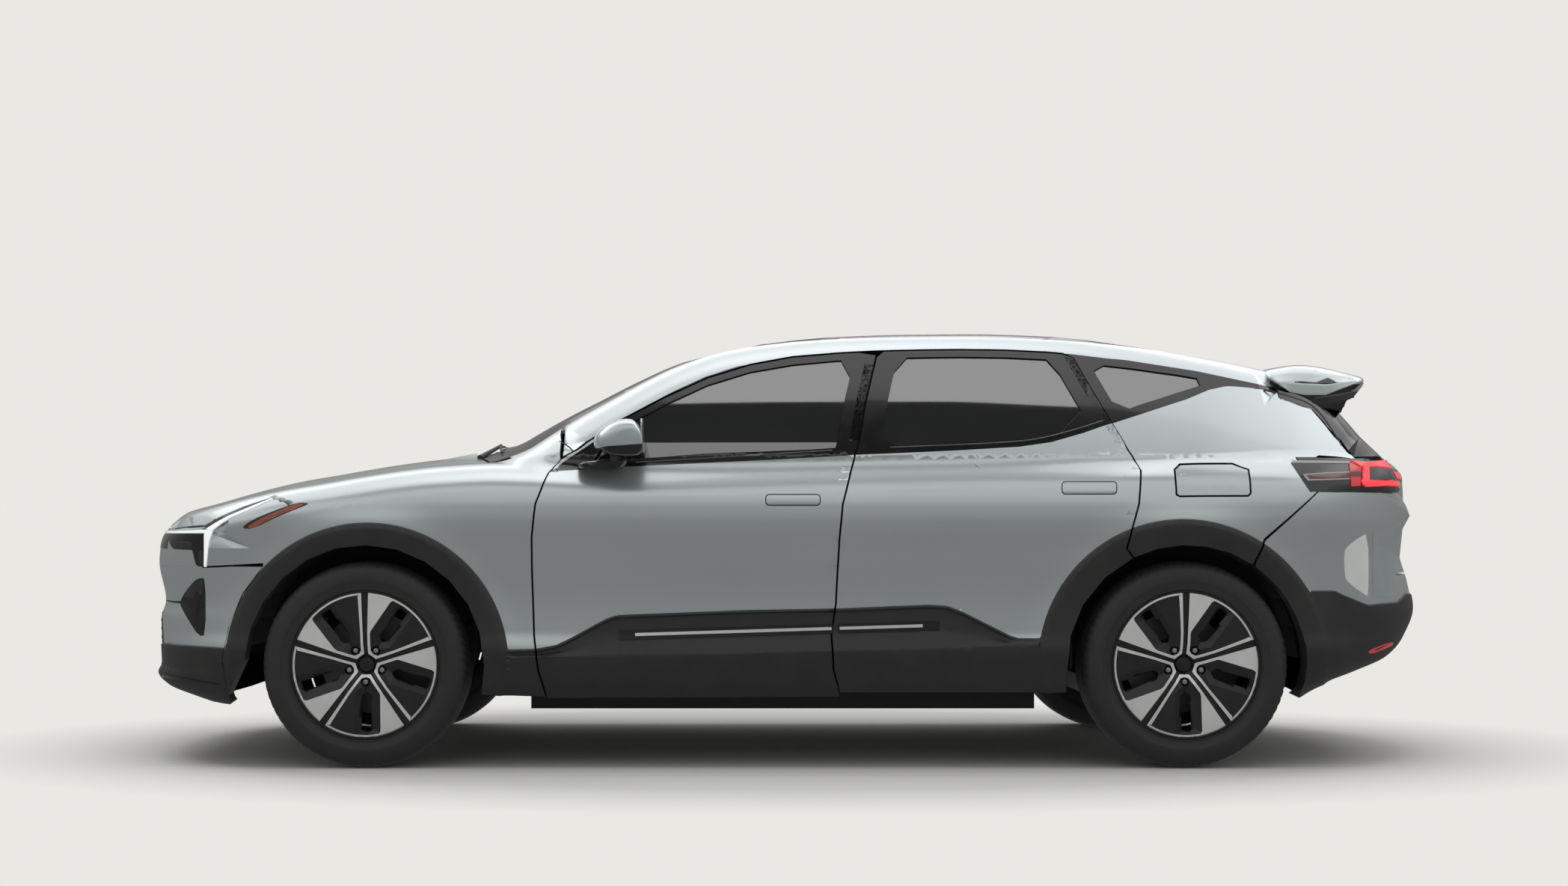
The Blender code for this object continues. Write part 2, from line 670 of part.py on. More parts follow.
def build_body_side(name, with_port=False):
    """Roof rail, screen post, quarter panel and the door surround behind the doors."""
    far = lambda z: door_depth(z) + 0.05
    corner = ((TAIL_FOCUS_X, 12), (TAIL_FOCUS_X, 24), (TAIL_FOCUS_X, 34), (TAIL_FOCUS_X, 43), (TAIL_FOCUS_X, 55))
    side = panel(name, side_stations(-0.88, TAIL_FOCUS_X) + corner, SIDE_LEVELS, 0.0, far)
    g = HALF_GAP
    post = across(cant_z, -0.858 + 2 * g, float(b_line(1.50)), g)
    rail = across(cant_z, 0.36, 1.02, g)
    latch = along(rear_door_edge, 1.515, 0.80, g)
    wheel = arc((REAR_AXLE_X, TYRE_RADIUS), ARCH_RADIUS, 116, 57, 6)
    seam = [(x - g, z + g) for x, z in BUMPER_SEAM_REAR]
    seam[1] = (BUMPER_SEAM_REAR[1][0] - g, BUMPER_SEAM_REAR[1][1])
    lamp = [(LAMP_CORNER_X - g, LAMP_TOP_Z + g), (2.085 - g, LAMP_TOP_Z + g)]
    back = along(tailgate_line, 1.15, 1.36, -g)
    top = [(ROOF_REAR_X - SHUT_GAP, 1.38), (ROOF_REAR_X - SHUT_GAP, 1.75), (-0.858 + 2 * g, 1.75)]
    trim(side, side_prism("outline", [post + rail + latch + wheel + seam + lamp + back + top]))
    cut(side, edge_strip(top_edge_y, -1.3, 2.4, -FIT_GAP, 1.0, 1.8))
    ring = panel("ring", side_stations(-0.93, 1.38), SIDE_LEVELS[:-2], lambda z: door_depth(z) + SHUT_GAP, far)
    outer = ([(-0.875, 0.29), (-0.915, 0.43), (-0.925, 0.78), (-0.90, 0.98), (-0.853, 1.08)]
             + across(cant_z, -0.80, 1.06, 0.02) + along(rear_door_edge, 1.50, 0.86, 0.06)
             + [(1.30, 0.80), (1.10, 0.29)])
    front_hole = ([(-0.76, 0.44), (-0.84, 0.60), (-0.83, 1.00), (-0.72, 1.10)]
                  + across(cant_z, -0.62, 0.10, -0.055) + [(0.09, 1.10), (0.06, 0.60), (0.05, 0.44)])
    rear_hole = ([(0.27, 0.44), (0.28, 0.60), (0.30, 1.05), (0.39, 1.40)]
                 + across(cant_z, 0.44, 0.98, -0.055) + along(rear_door_edge, 1.42, 0.93, -0.07)
                 + [(1.02, 0.85), (0.92, 0.70), (0.88, 0.44)])
    trim(ring, side_prism("outline", [outer, front_hole, rear_hole]))
    join(ring, door_seats())
    cut(ring, side_prism("arch", [arc((REAR_AXLE_X, TYRE_RADIUS), 0.478, 0, 345, 24)]))
    join(side, ring)
    cut(side, side_prism("window", [window_outline_quarter()]))
    join(side, tailgate_seat())
    if with_port:
        cut(side, charge_port_pocket())
    return side


def rectangle(x, z, half_length, half_height):
    return [(x - half_length, z - half_height), (x + half_length, z - half_height),
            (x + half_length, z + half_height), (x - half_length, z + half_height)]


HINGE_HEIGHTS = (0.50, 0.90)
STRIKER_HEIGHT = 0.86
SEAT_HALF = 0.035


def door_seats():
    """Hinge plates and strikers on the door surround, which the closed doors rest against."""
    seats = panel("seats", side_stations(-0.93, 1.38), SIDE_LEVELS[:-2],
                  lambda z: door_depth(z) + FIT_GAP, lambda z: door_depth(z) + 0.03)
    plates = []
    for hinge_x, latch_x in ((FRONT_DOOR_HINGE_X + 0.055, 0.100), (REAR_DOOR_HINGE_X + 0.095, 1.165)):
        plates += [rectangle(hinge_x, z, 0.022, SEAT_HALF) for z in HINGE_HEIGHTS]
        plates.append(rectangle(latch_x, STRIKER_HEIGHT + 0.06 * (latch_x > 1), 0.022, SEAT_HALF))
    return trim(seats, side_prism("plates", plates))


CHARGE_LID = ((1.383, 0.995), (1.383, 1.085), (1.405, 1.105), (1.60, 1.108), (1.655, 1.085), (1.655, 1.00),
              (1.645, 0.990), (1.395, 0.988))
LID_SHEET = 0.008
POCKET_DEPTH = 0.05
LID_STOP = (1.412, 1.045, 0.010, 0.02)


def quarter_sheet(name, near, far):
    """A wall under the skin of the rear quarter, wide enough for the charge port."""
    return panel(name, side_stations(1.36, TAIL_FOCUS_X) + ((TAIL_FOCUS_X, 12),), SIDE_LEVELS[5:10], near, far)


def charge_port_pocket():
    """The recess for the port, with a stop left standing in it for the closed lid."""
    pocket = quarter_sheet("pocket", -0.05, POCKET_DEPTH)
    trim(pocket, side_prism("outline", [shrunk(CHARGE_LID, -HALF_GAP)]))
    stop = quarter_sheet("stop", LID_SHEET + FIT_GAP, 0.2)
    return cut(pocket, trim(stop, side_prism("outline", [rectangle(*LID_STOP)])))


def build_charge_lid(name):
    lid = quarter_sheet(name, 0.0, LID_SHEET)
    return trim(lid, side_prism("outline", [shrunk(CHARGE_LID, HALF_GAP)]))


def fender_sheet(name, near, far):
    corner = tuple((NOSE_FOCUS_X, -a) for a in (46, 36, 27, 16))
    return panel(name, corner + spread(NOSE_FOCUS_X, -0.80, 0.24), FENDER_LEVELS, near, far)


def build_fender(name):
    """The front wing with its wheel arch lip."""
    wing = fender_sheet(name, 0.0, FENDER_DEPTH)
    g = HALF_GAP
    wheel = arc((FRONT_AXLE_X, TYRE_RADIUS), ARCH_RADIUS, 192, -14, 15)
    ring_end = arc((FRONT_AXLE_X, TYRE_RADIUS), FLARE_RADIUS, 136, 192, 5)
    seam = [(x, z + g) for x, z in BUMPER_SEAM_FRONT]
    lamp = [(FENDER_FRONT_X, BONNET_TIP_Z), (-2.6, BONNET_TIP_Z), (-2.6, 1.4)]
    rear = [(-0.862, 1.4), (-0.862, float(cant_z(-0.862)) + g)]
    door = along(front_door_edge, 1.08, 0.262, -g)
    outline = ring_end[::-1] + seam + lamp + rear + door + wheel[::-1][:-1]
    trim(wing, side_prism("outline", [outline]))
    cut(wing, edge_strip(bonnet_edge_y, -2.7, -1.05, -HALF_GAP, 0.5, 1.4, "bonnet"))
    cut(wing, edge_strip(top_edge_y, -1.30, -0.7, -HALF_GAP, 0.5, 1.5, "screen"))
    return wing


def bonnet_sheet(name, near, far):
    xs = np.concatenate([[-2.46, -2.43, -2.40, -2.35], np.linspace(-2.28, -1.04, 5)])
    return top_panel(name, xs, np.linspace(-0.80, 0.80, 9), near, far, 0.60)


def build_bonnet(name):
    sheet_top = bonnet_sheet(name, 0.0, BONNET_DEPTH)
    front = [(-2.6, -0.5), (-2.6, 0.5)]
    rear = cross_line(BONNET_REAR_X, half_width_at(bonnet_edge_y, BONNET_REAR_X) - HALF_GAP, 9, -SHUT_GAP)
    right, left = side_edges(bonnet_edge_y, -2.6, rear[-1][0], HALF_GAP)
    outline = front + right[1:-1] + rear[::-1] + left[1:-1]
    return trim(sheet_top, prism("outline", [outline], "Z", BONNET_TIP_Z + SHUT_GAP, 1.4))


def build_cowl(name):
    ys = np.linspace(-0.78, 0.78, 9)
    cowl = top_panel(name, np.linspace(-1.34, -0.95, 4), ys, 0.002, 0.03, 0.7)
    front = cross_line(BONNET_REAR_X, 0.76, 9, SHUT_GAP)
    rear = cross_line(COWL_REAR_X, 0.735, 9, -FIT_GAP)
    return trim(cowl, prism("outline", [front + rear[::-1]], "Z", 0.8, 1.5))


def glass_strip(name, front_x, rear_x, xs, edge_gap, rear_gap=FIT_GAP, straight=False):
    ys = np.linspace(-0.78, 0.78, 9)
    pane = top_panel(name, xs, ys, 0.0, 0.012, 0.9)
    wide_front = half_width_at(top_edge_y, front_x) - edge_gap
    wide_rear = (shared_value(top_edge_y, rear_x) if straight else half_width_at(top_edge_y, rear_x)) - edge_gap
    front = cross_line(front_x, wide_front, 9, FIT_GAP)
    if straight:
        rear = [(rear_x - rear_gap, -wide_rear), (rear_x - rear_gap, wide_rear)]
    else:
        rear = cross_line(rear_x, wide_rear, 9, -rear_gap)
    return trim(pane, plan_strip("outline", front, rear, top_edge_y, edge_gap, 0.9, 1.8))


def front_bumper_sheet(name, near, far):
    yaws = [-12, -20, -28, -37, -48, -62, -76, -90]
    stations = tuple((NOSE_FOCUS_X, a) for a in yaws + [-180 - a for a in yaws[-2::-1]])
    levels = tuple((z, 0) for z in (0.235, 0.28, 0.33, 0.37, 0.54, 0.61, 0.745, 0.875))
    return panel(name, stations, levels, near, far)


def build_front_bumper(name):
    """Nose panel and bumper from one wheel arch to the other."""
    bumper = front_bumper_sheet(name, 0.0, BUMPER_DEPTH)
    g = HALF_GAP
    ring = arc((FRONT_AXLE_X, TYRE_RADIUS), FLARE_RADIUS + g, 195, 135, 5)
    seam = [(x, z - g) for x, z in BUMPER_SEAM_FRONT]
    lamp = [(FENDER_FRONT_X - SHUT_GAP, BUMPER_SEAM_FRONT[1][1] - g), (FENDER_FRONT_X - SHUT_GAP, BONNET_TIP_Z)]
    outline = [(-2.6, 0.2), (-2.1, 0.2)] + ring + seam[:1] + lamp + [(-2.6, BONNET_TIP_Z)]
    trim(bumper, prism("outline", [outline], "Y", -1.3, 1.3))
    for sign in (-1, 1):
        near, far = sorted((sign * (HEADLAMP_INNER_Y - FIT_GAP), sign * 1.2))
        cut(bumper, box("lamp", (-2.7, near, HEADLAMP_FOOT_Z - FIT_GAP), (-1.9, far, 1.0)))
    return bumper


def build_headlamp(name):
    stations = tuple((NOSE_FOCUS_X, -a) for a in (20, 27, 34, 42, 50, 57, 62))
    levels = tuple((z, 0) for z in (0.70, 0.76, 0.82, 0.90))
    lamp = panel(name, stations, levels, 0.004, 0.10)
    low = (-2.6, HEADLAMP_INNER_Y, HEADLAMP_FOOT_Z)
    high = (FENDER_FRONT_X - FIT_GAP, 1.2, BONNET_TIP_Z - FIT_GAP)
    return trim(lamp, box("outline", low, high))


def tail_levels(low, high, count):
    return tuple((float(z), 0) for z in np.linspace(low, high, count))


def rear_bumper_sheet(name, near, far):
    yaws = [3, 12, 22, 33, 46, 60, 75, 90]
    stations = tuple((TAIL_FOCUS_X, a) for a in yaws + [180 - a for a in yaws[-2::-1]])
    levels = tuple((z, 0) for z in (0.26, 0.33, 0.40, 0.48, 0.57, 0.68, 0.80, 0.92, 1.02))
    return panel(name, stations, levels, near, far)


def build_rear_bumper(name):
    """Bumper from one rear wheel arch to the other, up to the lamps at its corners."""
    bumper = rear_bumper_sheet(name, 0.0, BUMPER_DEPTH)
    g = HALF_GAP
    centre = (REAR_AXLE_X, TYRE_RADIUS)
    ring = arc(centre, ARCH_RADIUS, -12, 0, 3) + arc(centre, ARCH_RADIUS, 8, 56, 7)
    seam = [(x + g, z - g) for x, z in BUMPER_SEAM_REAR]
    foot_z = LAMP_FOOT_Z - FIT_GAP
    outline = [(2.6, 0.2), (1.84, 0.2)] + ring + seam[:1] + [(seam[1][0], foot_z), (2.6, foot_z)]
    trim(bumper, prism("outline", [outline], "Y", -1.3, 1.3))
    opening = box("tailgate", (1.5, -TAILGATE_HALF_WIDTH - g, TAILGATE_FOOT_Z - g),
                  (2.8, TAILGATE_HALF_WIDTH + g, 1.3))
    return cut(bumper, opening)


def mirror_from(obj):
    """The piece itself moved to the other side of the car."""
    copy = mirror_copy(obj, obj.name)
    bpy.data.objects.remove(obj)
    return copy


def build_tail_lamp(name):
    """The corner lamp between the quarter panel, the bumper and the tailgate."""
    stations = tuple((TAIL_FOCUS_X, a) for a in (8, 22, 34, 46, 60))
    lamp = panel(name, stations, tail_levels(0.96, 1.16, 3), 0.002, 0.06)
    outline = [(LAMP_CORNER_X + FIT_GAP, LAMP_TOP_Z), (2.6, LAMP_TOP_Z), (2.6, LAMP_FOOT_Z),
               (BUMPER_SEAM_REAR[1][0] + FIT_GAP, LAMP_FOOT_Z)]
    trim(lamp, side_prism("outline", [outline]))
    return cut(lamp, box("tailgate", (1.5, 0, 0.5), (2.8, TAILGATE_HALF_WIDTH + HALF_GAP, 1.5)))


SPOILER_PROFILE = ((1.850, 1.470), (1.850, 1.496), (1.966, 1.516), (2.048, 1.513), (2.131, 1.496), (2.235, 1.470),
                   (2.2435, 1.452), (2.196, 1.430), (2.172, 1.395), (2.150, 1.340), (2.05, 1.375), (1.95, 1.42))
SPOILER_FOOT = ((1.85, 1.430), (2.00, 1.407), (2.09, 1.407), (2.194, 1.4435), (2.2435, 1.450))
SPOILER_ENDS = ((0.0, 0.0), (0.25, 0.0), (0.50, 0.0), (0.60, 0.15), (0.635, 0.60))
SPOILER_TIP_X = 2.20


def loft(name, rings):
    """A closed body through rings of equal counts, capped at both ends."""
    bm = bmesh.new()
    rows = [[bm.verts.new(p) for p in ring] for ring in rings]
    for a, b in zip(rows, rows[1:]):
        for i in range(len(a)):
            j = (i + 1) % len(a)
            bm.faces.new((a[i], a[j], b[j], b[i]))
    bm.faces.new(rows[0][::-1])
    bm.faces.new(rows[-1])
    bmesh.ops.triangulate(bm, faces=bm.faces)
    return mesh_from_bmesh(name, bm)


def tailgate_sheet(name, near, far):
    """The rear wall from the roof's end down to the bumper, reached from inside the boot."""
    pitch = np.radians([52, 44, 37, 30, 23, 16, 9, 2, -5, -12, -18])
    ys = np.linspace(-0.86, 0.86, 9)
    y, angle = np.meshgrid(ys, pitch, indexing="ij")
    start = np.stack([0 * y + 1.32, y, 0 * y + 0.98], -1)
    direction = np.stack([np.cos(angle), 0 * y, np.sin(angle)], -1)
    return skin_sheet(name, start, direction, near, far)


def tailgate_region(gap):
    """The space of the tailgate: all behind the rear posts above the lamps, and between the lamps below."""
    g = gap
    upper = prism("upper", [[(2.085 + g, LAMP_TOP_Z + 0.008 + g)] + along(tailgate_line, 1.15, 1.36, g)
                            + [(ROOF_REAR_X, 1.37), (ROOF_REAR_X, 1.7), (2.7, 1.7), (2.7, 1.136 + g)]],
                  "Y", -1.0, 1.0)
    lower = box("lower", (2.09, -TAILGATE_HALF_WIDTH + g, TAILGATE_FOOT_Z + g),
                (2.7, TAILGATE_HALF_WIDTH - g, 1.20))
    return join(upper, lower)


def spoiler_ring(y, sink):
    """The spoiler's section at a distance from the middle plane, its top sunk by a share of its thickness."""
    ring = []
    for x, z in SPOILER_PROFILE:
        foot = float(np.interp(x, *zip(*SPOILER_FOOT)))
        height = foot + (z - foot) * (1 - sink) if z > foot else z
        reach = min(x, SPOILER_TIP_X) + max(x - SPOILER_TIP_X, 0) * (1 - sink)
        ring.append((float(bowed_back(reach, y)), y, height - ROOF_CROWN * y * y))
    return ring


def build_tailgate(name):
    gate = tailgate_sheet(name, 0.0, TAILGATE_DEPTH)
    ends = [(-y, sink) for y, sink in SPOILER_ENDS[:0:-1]] + list(SPOILER_ENDS)
    join(gate, loft("spoiler", [spoiler_ring(y, sink) for y, sink in ends]))
    trim(gate, tailgate_region(HALF_GAP))
    return cut(gate, rear_window("window", 0.0))


def tailgate_seat():
    """The hinge plate under the tailgate's front edge."""
    plate = tailgate_sheet("seat", TAILGATE_DEPTH + FIT_GAP, TAILGATE_DEPTH + 0.03)
    return trim(plate, box("outline", (ROOF_REAR_X - 0.05, 0.555, 1.2), (ROOF_REAR_X + 0.045, 0.60, 1.6)))


def rear_window(name, inset):
    outline = [(-0.60 + inset, 1.17 + inset), (0.60 - inset, 1.17 + inset), (0.50 - inset, 1.375 - inset),
               (-0.50 + inset, 1.375 - inset)]
    return prism(name, [outline], "X", 1.9, 2.7)


def build_tailgate_glass(name):
    pane = tailgate_sheet(name, 0.006, 0.014)
    return trim(pane, rear_window("window", FIT_GAP))


# Wheels and running gear

HUB_BORE = 0.0220
STUB_RADIUS = 0.0212
RIM_SHEET = 0.010
BARREL_RADIUS = 0.253
FLANGE_RADIUS = 0.2705
BEAD_Y = 0.108
FLANGE_Y = 0.1165
DISC_RADIUS = 0.190
DISC_IN_Y = -0.094
DISC_OUT_Y = -0.068
WHEEL_STEPS = 20
HUB_STEPS = 16


def build_tyre(name, axle_x):
    half = TYRE_WIDTH / 2
    seat = BARREL_RADIUS + FIT_GAP
    notch = FLANGE_RADIUS + FIT_GAP
    outer = [(seat, 0.0), (seat, BEAD_Y), (notch, BEAD_Y), (notch, FLANGE_Y), (RIM_RADIUS + 0.045, half),
             (TYRE_RADIUS - 0.024, half - 0.005), (TYRE_RADIUS, half - 0.040)]
    profile = outer + [(r, -h) for r, h in reversed(outer[1:])]
    return moved(turned(name, profile, WHEEL_STEPS), (axle_x, HALF_TRACK, TYRE_RADIUS))


def build_rim(name, axle_x):
    """Barrel, pierced face, hub and brake disc as one turning piece."""
    inside = BARREL_RADIUS - RIM_SHEET
    half = [(BARREL_RADIUS, BEAD_Y + FIT_GAP), (FLANGE_RADIUS, BEAD_Y + FIT_GAP), (FLANGE_RADIUS, FLANGE_Y)]
    barrel = half + [(inside, FLANGE_Y), (inside, -FLANGE_Y)] + [(r, -h) for r, h in reversed(half)]
    rim = turned(name, barrel, WHEEL_STEPS)
    face = turned("face", [(0.0, 0.082), (0.06, 0.082), (inside + 0.004, 0.098), (inside + 0.004, 0.076),
                           (0.09, 0.052), (0.0, 0.052)], WHEEL_STEPS)
    for k in range(5):
        middle = 54 + 72 * k
        window = arc((0, 0), 0.222, middle - 22, middle + 17, 3) + arc((0, 0), 0.105, middle + 10, middle - 14, 2)
        cut(face, prism("window", [window], "Y", -0.3, 0.3))
    join(rim, face)
    disc = [(0.0, 0.060), (0.075, 0.060), (0.075, DISC_OUT_Y), (DISC_RADIUS, DISC_OUT_Y), (DISC_RADIUS, DISC_IN_Y),
            (0.070, DISC_IN_Y), (HUB_BORE, DISC_IN_Y), (HUB_BORE, 0.02), (0.0, 0.02)]
    join(rim, turned("disc", disc, HUB_STEPS))
    return moved(rim, (axle_x, HALF_TRACK, TYRE_RADIUS))


CALIPER_GAP = 0.006
CALIPER_RADII = (0.090, 0.228)
CALIPER_ANGLES = (-28, 24)
CALIPER_IN = 0.118
CALIPER_OUT = 0.030
KNUCKLE_FACE_RADIUS = 0.172
KNUCKLE_FACE_ANGLE = 18
UPRIGHT_HALF_LENGTH = 0.045
UPRIGHT_OUT = 0.108
UPRIGHT_Z = (0.215, 0.550)
STUB_IN = 0.156
STUB_OUT = 0.012
BRACKET = ((0.02, -0.120, -0.04), (0.12, -0.104, 0.04))
ARM_Z = 0.243
ARM_RADIUS, LINK_RADIUS, SHAFT_RADIUS = 0.026, 0.020, 0.022
ARM_IN = 0.146
LINK_IN = 0.196
LINK_SPREAD = 0.15
RAIL_Y = 0.43
RAIL_HALF_WIDTH = 0.03
FRONT_RAIL_Z = (0.53, 0.62)
REAR_RAIL_Z = (0.52, 0.60)
SUBFRAME_Z = (0.205, 0.275)
SUBFRAME_HALF_LENGTH = 0.22
DRIVE_UNIT = (0.19, 0.27, 0.50)
POST_X = 0.17
CARRIER_JOINT = (0.03, 0.236, 0.136, 0.225, 0.26)


def build_knuckle(name, axle_x):
    """Stub, upright and brake caliper; the stub runs in the hub, and the upright's inner face is round about
    the steering axis, so the arms' ends stay close to it as it turns."""
    c = Vector((axle_x, HALF_TRACK, TYRE_RADIUS))
    knuckle = rod(name, c - Vector((0, STUB_IN, 0)), c + Vector((0, STUB_OUT, 0)), STUB_RADIUS, HUB_STEPS)
    face = arc((axle_x, HALF_TRACK), KNUCKLE_FACE_RADIUS, 270 - KNUCKLE_FACE_ANGLE, 270 + KNUCKLE_FACE_ANGLE, 5)
    back_y = HALF_TRACK - UPRIGHT_OUT
    upright = face + [(axle_x + UPRIGHT_HALF_LENGTH, back_y), (axle_x - UPRIGHT_HALF_LENGTH, back_y)]
    join(knuckle, prism("upright", [upright], "Z", *UPRIGHT_Z))
    centre = (axle_x, TYRE_RADIUS)
    low, high = CALIPER_ANGLES
    outline = arc(centre, CALIPER_RADII[1], low, high, 4) + arc(centre, CALIPER_RADII[0], high, low, 2)
    caliper = prism("caliper", [outline], "Y", HALF_TRACK - CALIPER_IN, HALF_TRACK - CALIPER_OUT)
    sector = arc(centre, DISC_RADIUS + 0.008, -50, 50, 9) + [centre]
    slot_low = HALF_TRACK + DISC_IN_Y - CALIPER_GAP
    slot_high = HALF_TRACK + DISC_OUT_Y + CALIPER_GAP
    cut(caliper, prism("slot", [sector], "Y", slot_low, slot_high))
    bracket = box("bracket", *(c + Vector(corner) for corner in BRACKET))
    return join(knuckle, join(caliper, bracket))


def build_axle(name, x, rail_foot):
    """Subframe on the rails, drive unit, shafts and arms, with round ends for the uprights."""
    low, high = SUBFRAME_Z
    half = SUBFRAME_HALF_LENGTH
    axle = box(name, (x - half, -RAIL_Y - RAIL_HALF_WIDTH, low), (x + half, RAIL_Y + RAIL_HALF_WIDTH, high))
    half, wide, top = DRIVE_UNIT
    join(axle, box("drive_unit", (x - half, -wide, high - 0.01), (x + half, wide, top)))
    arm_y = HALF_TRACK - ARM_IN
    for s in (-1, 1):
        inner, outer = sorted((s * (RAIL_Y - RAIL_HALF_WIDTH), s * (RAIL_Y + RAIL_HALF_WIDTH)))
        for post_x in (x - POST_X, x + POST_X):
            join(axle, box("post", (post_x - RAIL_HALF_WIDTH, inner, high - 0.01),
                           (post_x + RAIL_HALF_WIDTH, outer, rail_foot - FIT_GAP)))
        foot_y = s * (RAIL_Y - RAIL_HALF_WIDTH)
        arms = rod("arm", (x, foot_y, ARM_Z), (x, s * arm_y, ARM_Z), ARM_RADIUS, 8)
        link_end = (x - 0.01, s * (HALF_TRACK - LINK_IN), ARM_Z)
        join(arms, rod("link", (x - LINK_SPREAD, foot_y, ARM_Z), link_end, LINK_RADIUS, 8))
        join(arms, rod("shaft", (x, s * (wide - 0.07), TYRE_RADIUS), (x, s * arm_y, TYRE_RADIUS), SHAFT_RADIUS, 8))
        turn = [arc((x, s * HALF_TRACK), KNUCKLE_FACE_RADIUS + 2 * FIT_GAP, 0, 354, 60)]
        cut(arms, prism("turn", turn, "Z", 0.1, 0.7))
        join(axle, arms)
    return axle


def build_front_axle(name):
    return build_axle(name, FRONT_AXLE_X, FRONT_RAIL_Z[0])


def build_rear_axle(name):
    """The rear axle with its fixed wheel carriers and calipers."""
    axle = build_axle(name, REAR_AXLE_X, REAR_RAIL_Z[0])
    half, inner, outer, low, high = CARRIER_JOINT
    for s in (-1, 1):
        carrier = build_knuckle("carrier", REAR_AXLE_X)
        if s < 0:
            carrier = mirror_from(carrier)
        join(axle, carrier)
        ends = sorted((s * (HALF_TRACK - inner), s * (HALF_TRACK - outer)))
        join(axle, box("joint", (REAR_AXLE_X - half, ends[0], low), (REAR_AXLE_X + half, ends[1], high)))
    return axle


# Body structure

FLOOR_Z = 0.345
BATTERY_HALF_WIDTH = 0.72
LINER_RADIUS = 0.452
LINER_SHEET = 0.012
WALL_FOOT_Z = 0.61


def liner(name, axle_x, inner_y, outer_y, low_angle, high_angle):
    """The arched roof of a wheel housing with its inner wall."""
    centre = (axle_x, TYRE_RADIUS)
    outer = LINER_RADIUS + LINER_SHEET
    band = arc(centre, LINER_RADIUS, low_angle, high_angle, 13) + arc(centre, outer, high_angle, low_angle, 13)
    shell = prism(name, [band], "Y", inner_y, outer_y)
    wall_angle = math.degrees(math.asin((WALL_FOOT_Z - TYRE_RADIUS) / outer))
    wall = arc(centre, outer - 0.004, wall_angle, 180 - wall_angle, 9)
    return join(shell, prism("wall", [wall], "Y", inner_y - 0.004, inner_y + LINER_SHEET))


def build_underbody(name):
    """Battery case and floor, with the rails that carry both axles and the bumpers."""
    floor = box(name, (-0.98, -BATTERY_HALF_WIDTH, 0.200), (0.90, BATTERY_HALF_WIDTH, FLOOR_Z))
    join(floor, box("sills", (-0.88, -0.86, 0.272), (0.88, 0.86, FLOOR_Z)))
    surround = panel("surround", side_stations(-0.93, 1.38), SIDE_LEVELS[:4], -0.3,
                     lambda z: door_depth(z) + 0.05 + FIT_GAP)
    cut(floor, mirror_copy(surround, "surround_left"), surround)
    for s in (-1, 1):
        low, high = sorted((s * (RAIL_Y - RAIL_HALF_WIDTH), s * (RAIL_Y + RAIL_HALF_WIDTH)))
        foot, top = FRONT_RAIL_Z
        join(floor, box("front_rail", (-2.27, low, foot), (-1.03, high, top)))
        join(floor, box("front_drop", (-1.09, low, 0.24), (-1.03, high, top)))
        join(floor, box("front_foot", (-1.09, low, 0.24), (-0.95, high, 0.33)))
        foot, top = REAR_RAIL_Z
        join(floor, box("rear_rail", (0.86, low, foot), (2.20, high, top)))
        join(floor, box("rear_drop", (0.86, low, 0.26), (0.90, high, top)))
    join(floor, box("rear_floor", (0.86, -0.60, 0.60), (2.16, 0.60, 0.63)))
    join(floor, box("heel_board", (0.86, -0.60, 0.30), (0.90, 0.60, 0.62)))
    front_beam = box("front_beam", (-2.50, -0.50, 0.52), (-2.25, 0.50, 0.63))
    cut(front_beam, front_bumper_sheet("nose", -0.3, BUMPER_DEPTH + FIT_GAP))
    rear_beam = box("rear_beam", (2.14, -0.50, 0.52), (2.50, 0.50, 0.62))
    cut(rear_beam, rear_bumper_sheet("tail", -0.3, BUMPER_DEPTH + FIT_GAP))
    join(floor, front_beam, rear_beam)
    for s in (-1, 1):
        house = rear_housing()
        if s < 0:
            house = mirror_from(house)
        join(floor, house)
    return floor


def rear_housing():
    """A rear wheel housing, standing on the side of the boot floor."""
    house = liner("liner", REAR_AXLE_X, 0.596, 0.90, 2, 178)
    corner = ((TAIL_FOCUS_X, 12), (TAIL_FOCUS_X, 24), (TAIL_FOCUS_X, 34))
    side = panel("side", side_stations(0.90, TAIL_FOCUS_X) + corner, SIDE_LEVELS[:9], -0.3,
                 lambda z: door_depth(z) + 0.05 + FIT_GAP)
    return cut(house, side)


def build_front_structure(name):
    """Firewall, wheel housings and the frame round the front equipment."""
    firewall = box(name, (-1.02, -0.72, FLOOR_Z + FIT_GAP), (-0.99, 0.72, 1.30))
    cut(firewall, top_panel("screen", np.linspace(-1.30, -0.20, 6), np.linspace(-0.78, 0.78, 9), -0.5, 0.035, 0.7))
    for s in (-1, 1):
        house = liner("liner", FRONT_AXLE_X, 0.49, 0.95, 14, 172)
        cut(house, fender_sheet("wing", -0.3, FENDER_DEPTH + FIT_GAP))
        if s < 0:
            house = mirror_from(house)
        low, high = sorted((s * 0.49, s * 0.54))
        join(firewall, house)
        join(firewall, box("top_rail", (-2.20, low, 0.80), (-0.99, high, 0.88)))
        for post_x in (-2.14, -1.28):
            post = box("post", (post_x - 0.03, low, 0.84), (post_x + 0.03, high, 1.3))
            join(firewall, cut(post, bonnet_sheet("bonnet", -0.5, BONNET_DEPTH + FIT_GAP)))
    join(firewall, box("lock_beam", (-2.24, -0.54, 0.80), (-2.18, 0.54, 0.84)))
    return firewall


def build_front_module(name):
    """The closed equipment block between the rails, under the bonnet."""
    return box(name, (-2.08, -0.44, FRONT_RAIL_Z[1] + FIT_GAP), (-1.16, 0.44, 0.93))


# Cabin

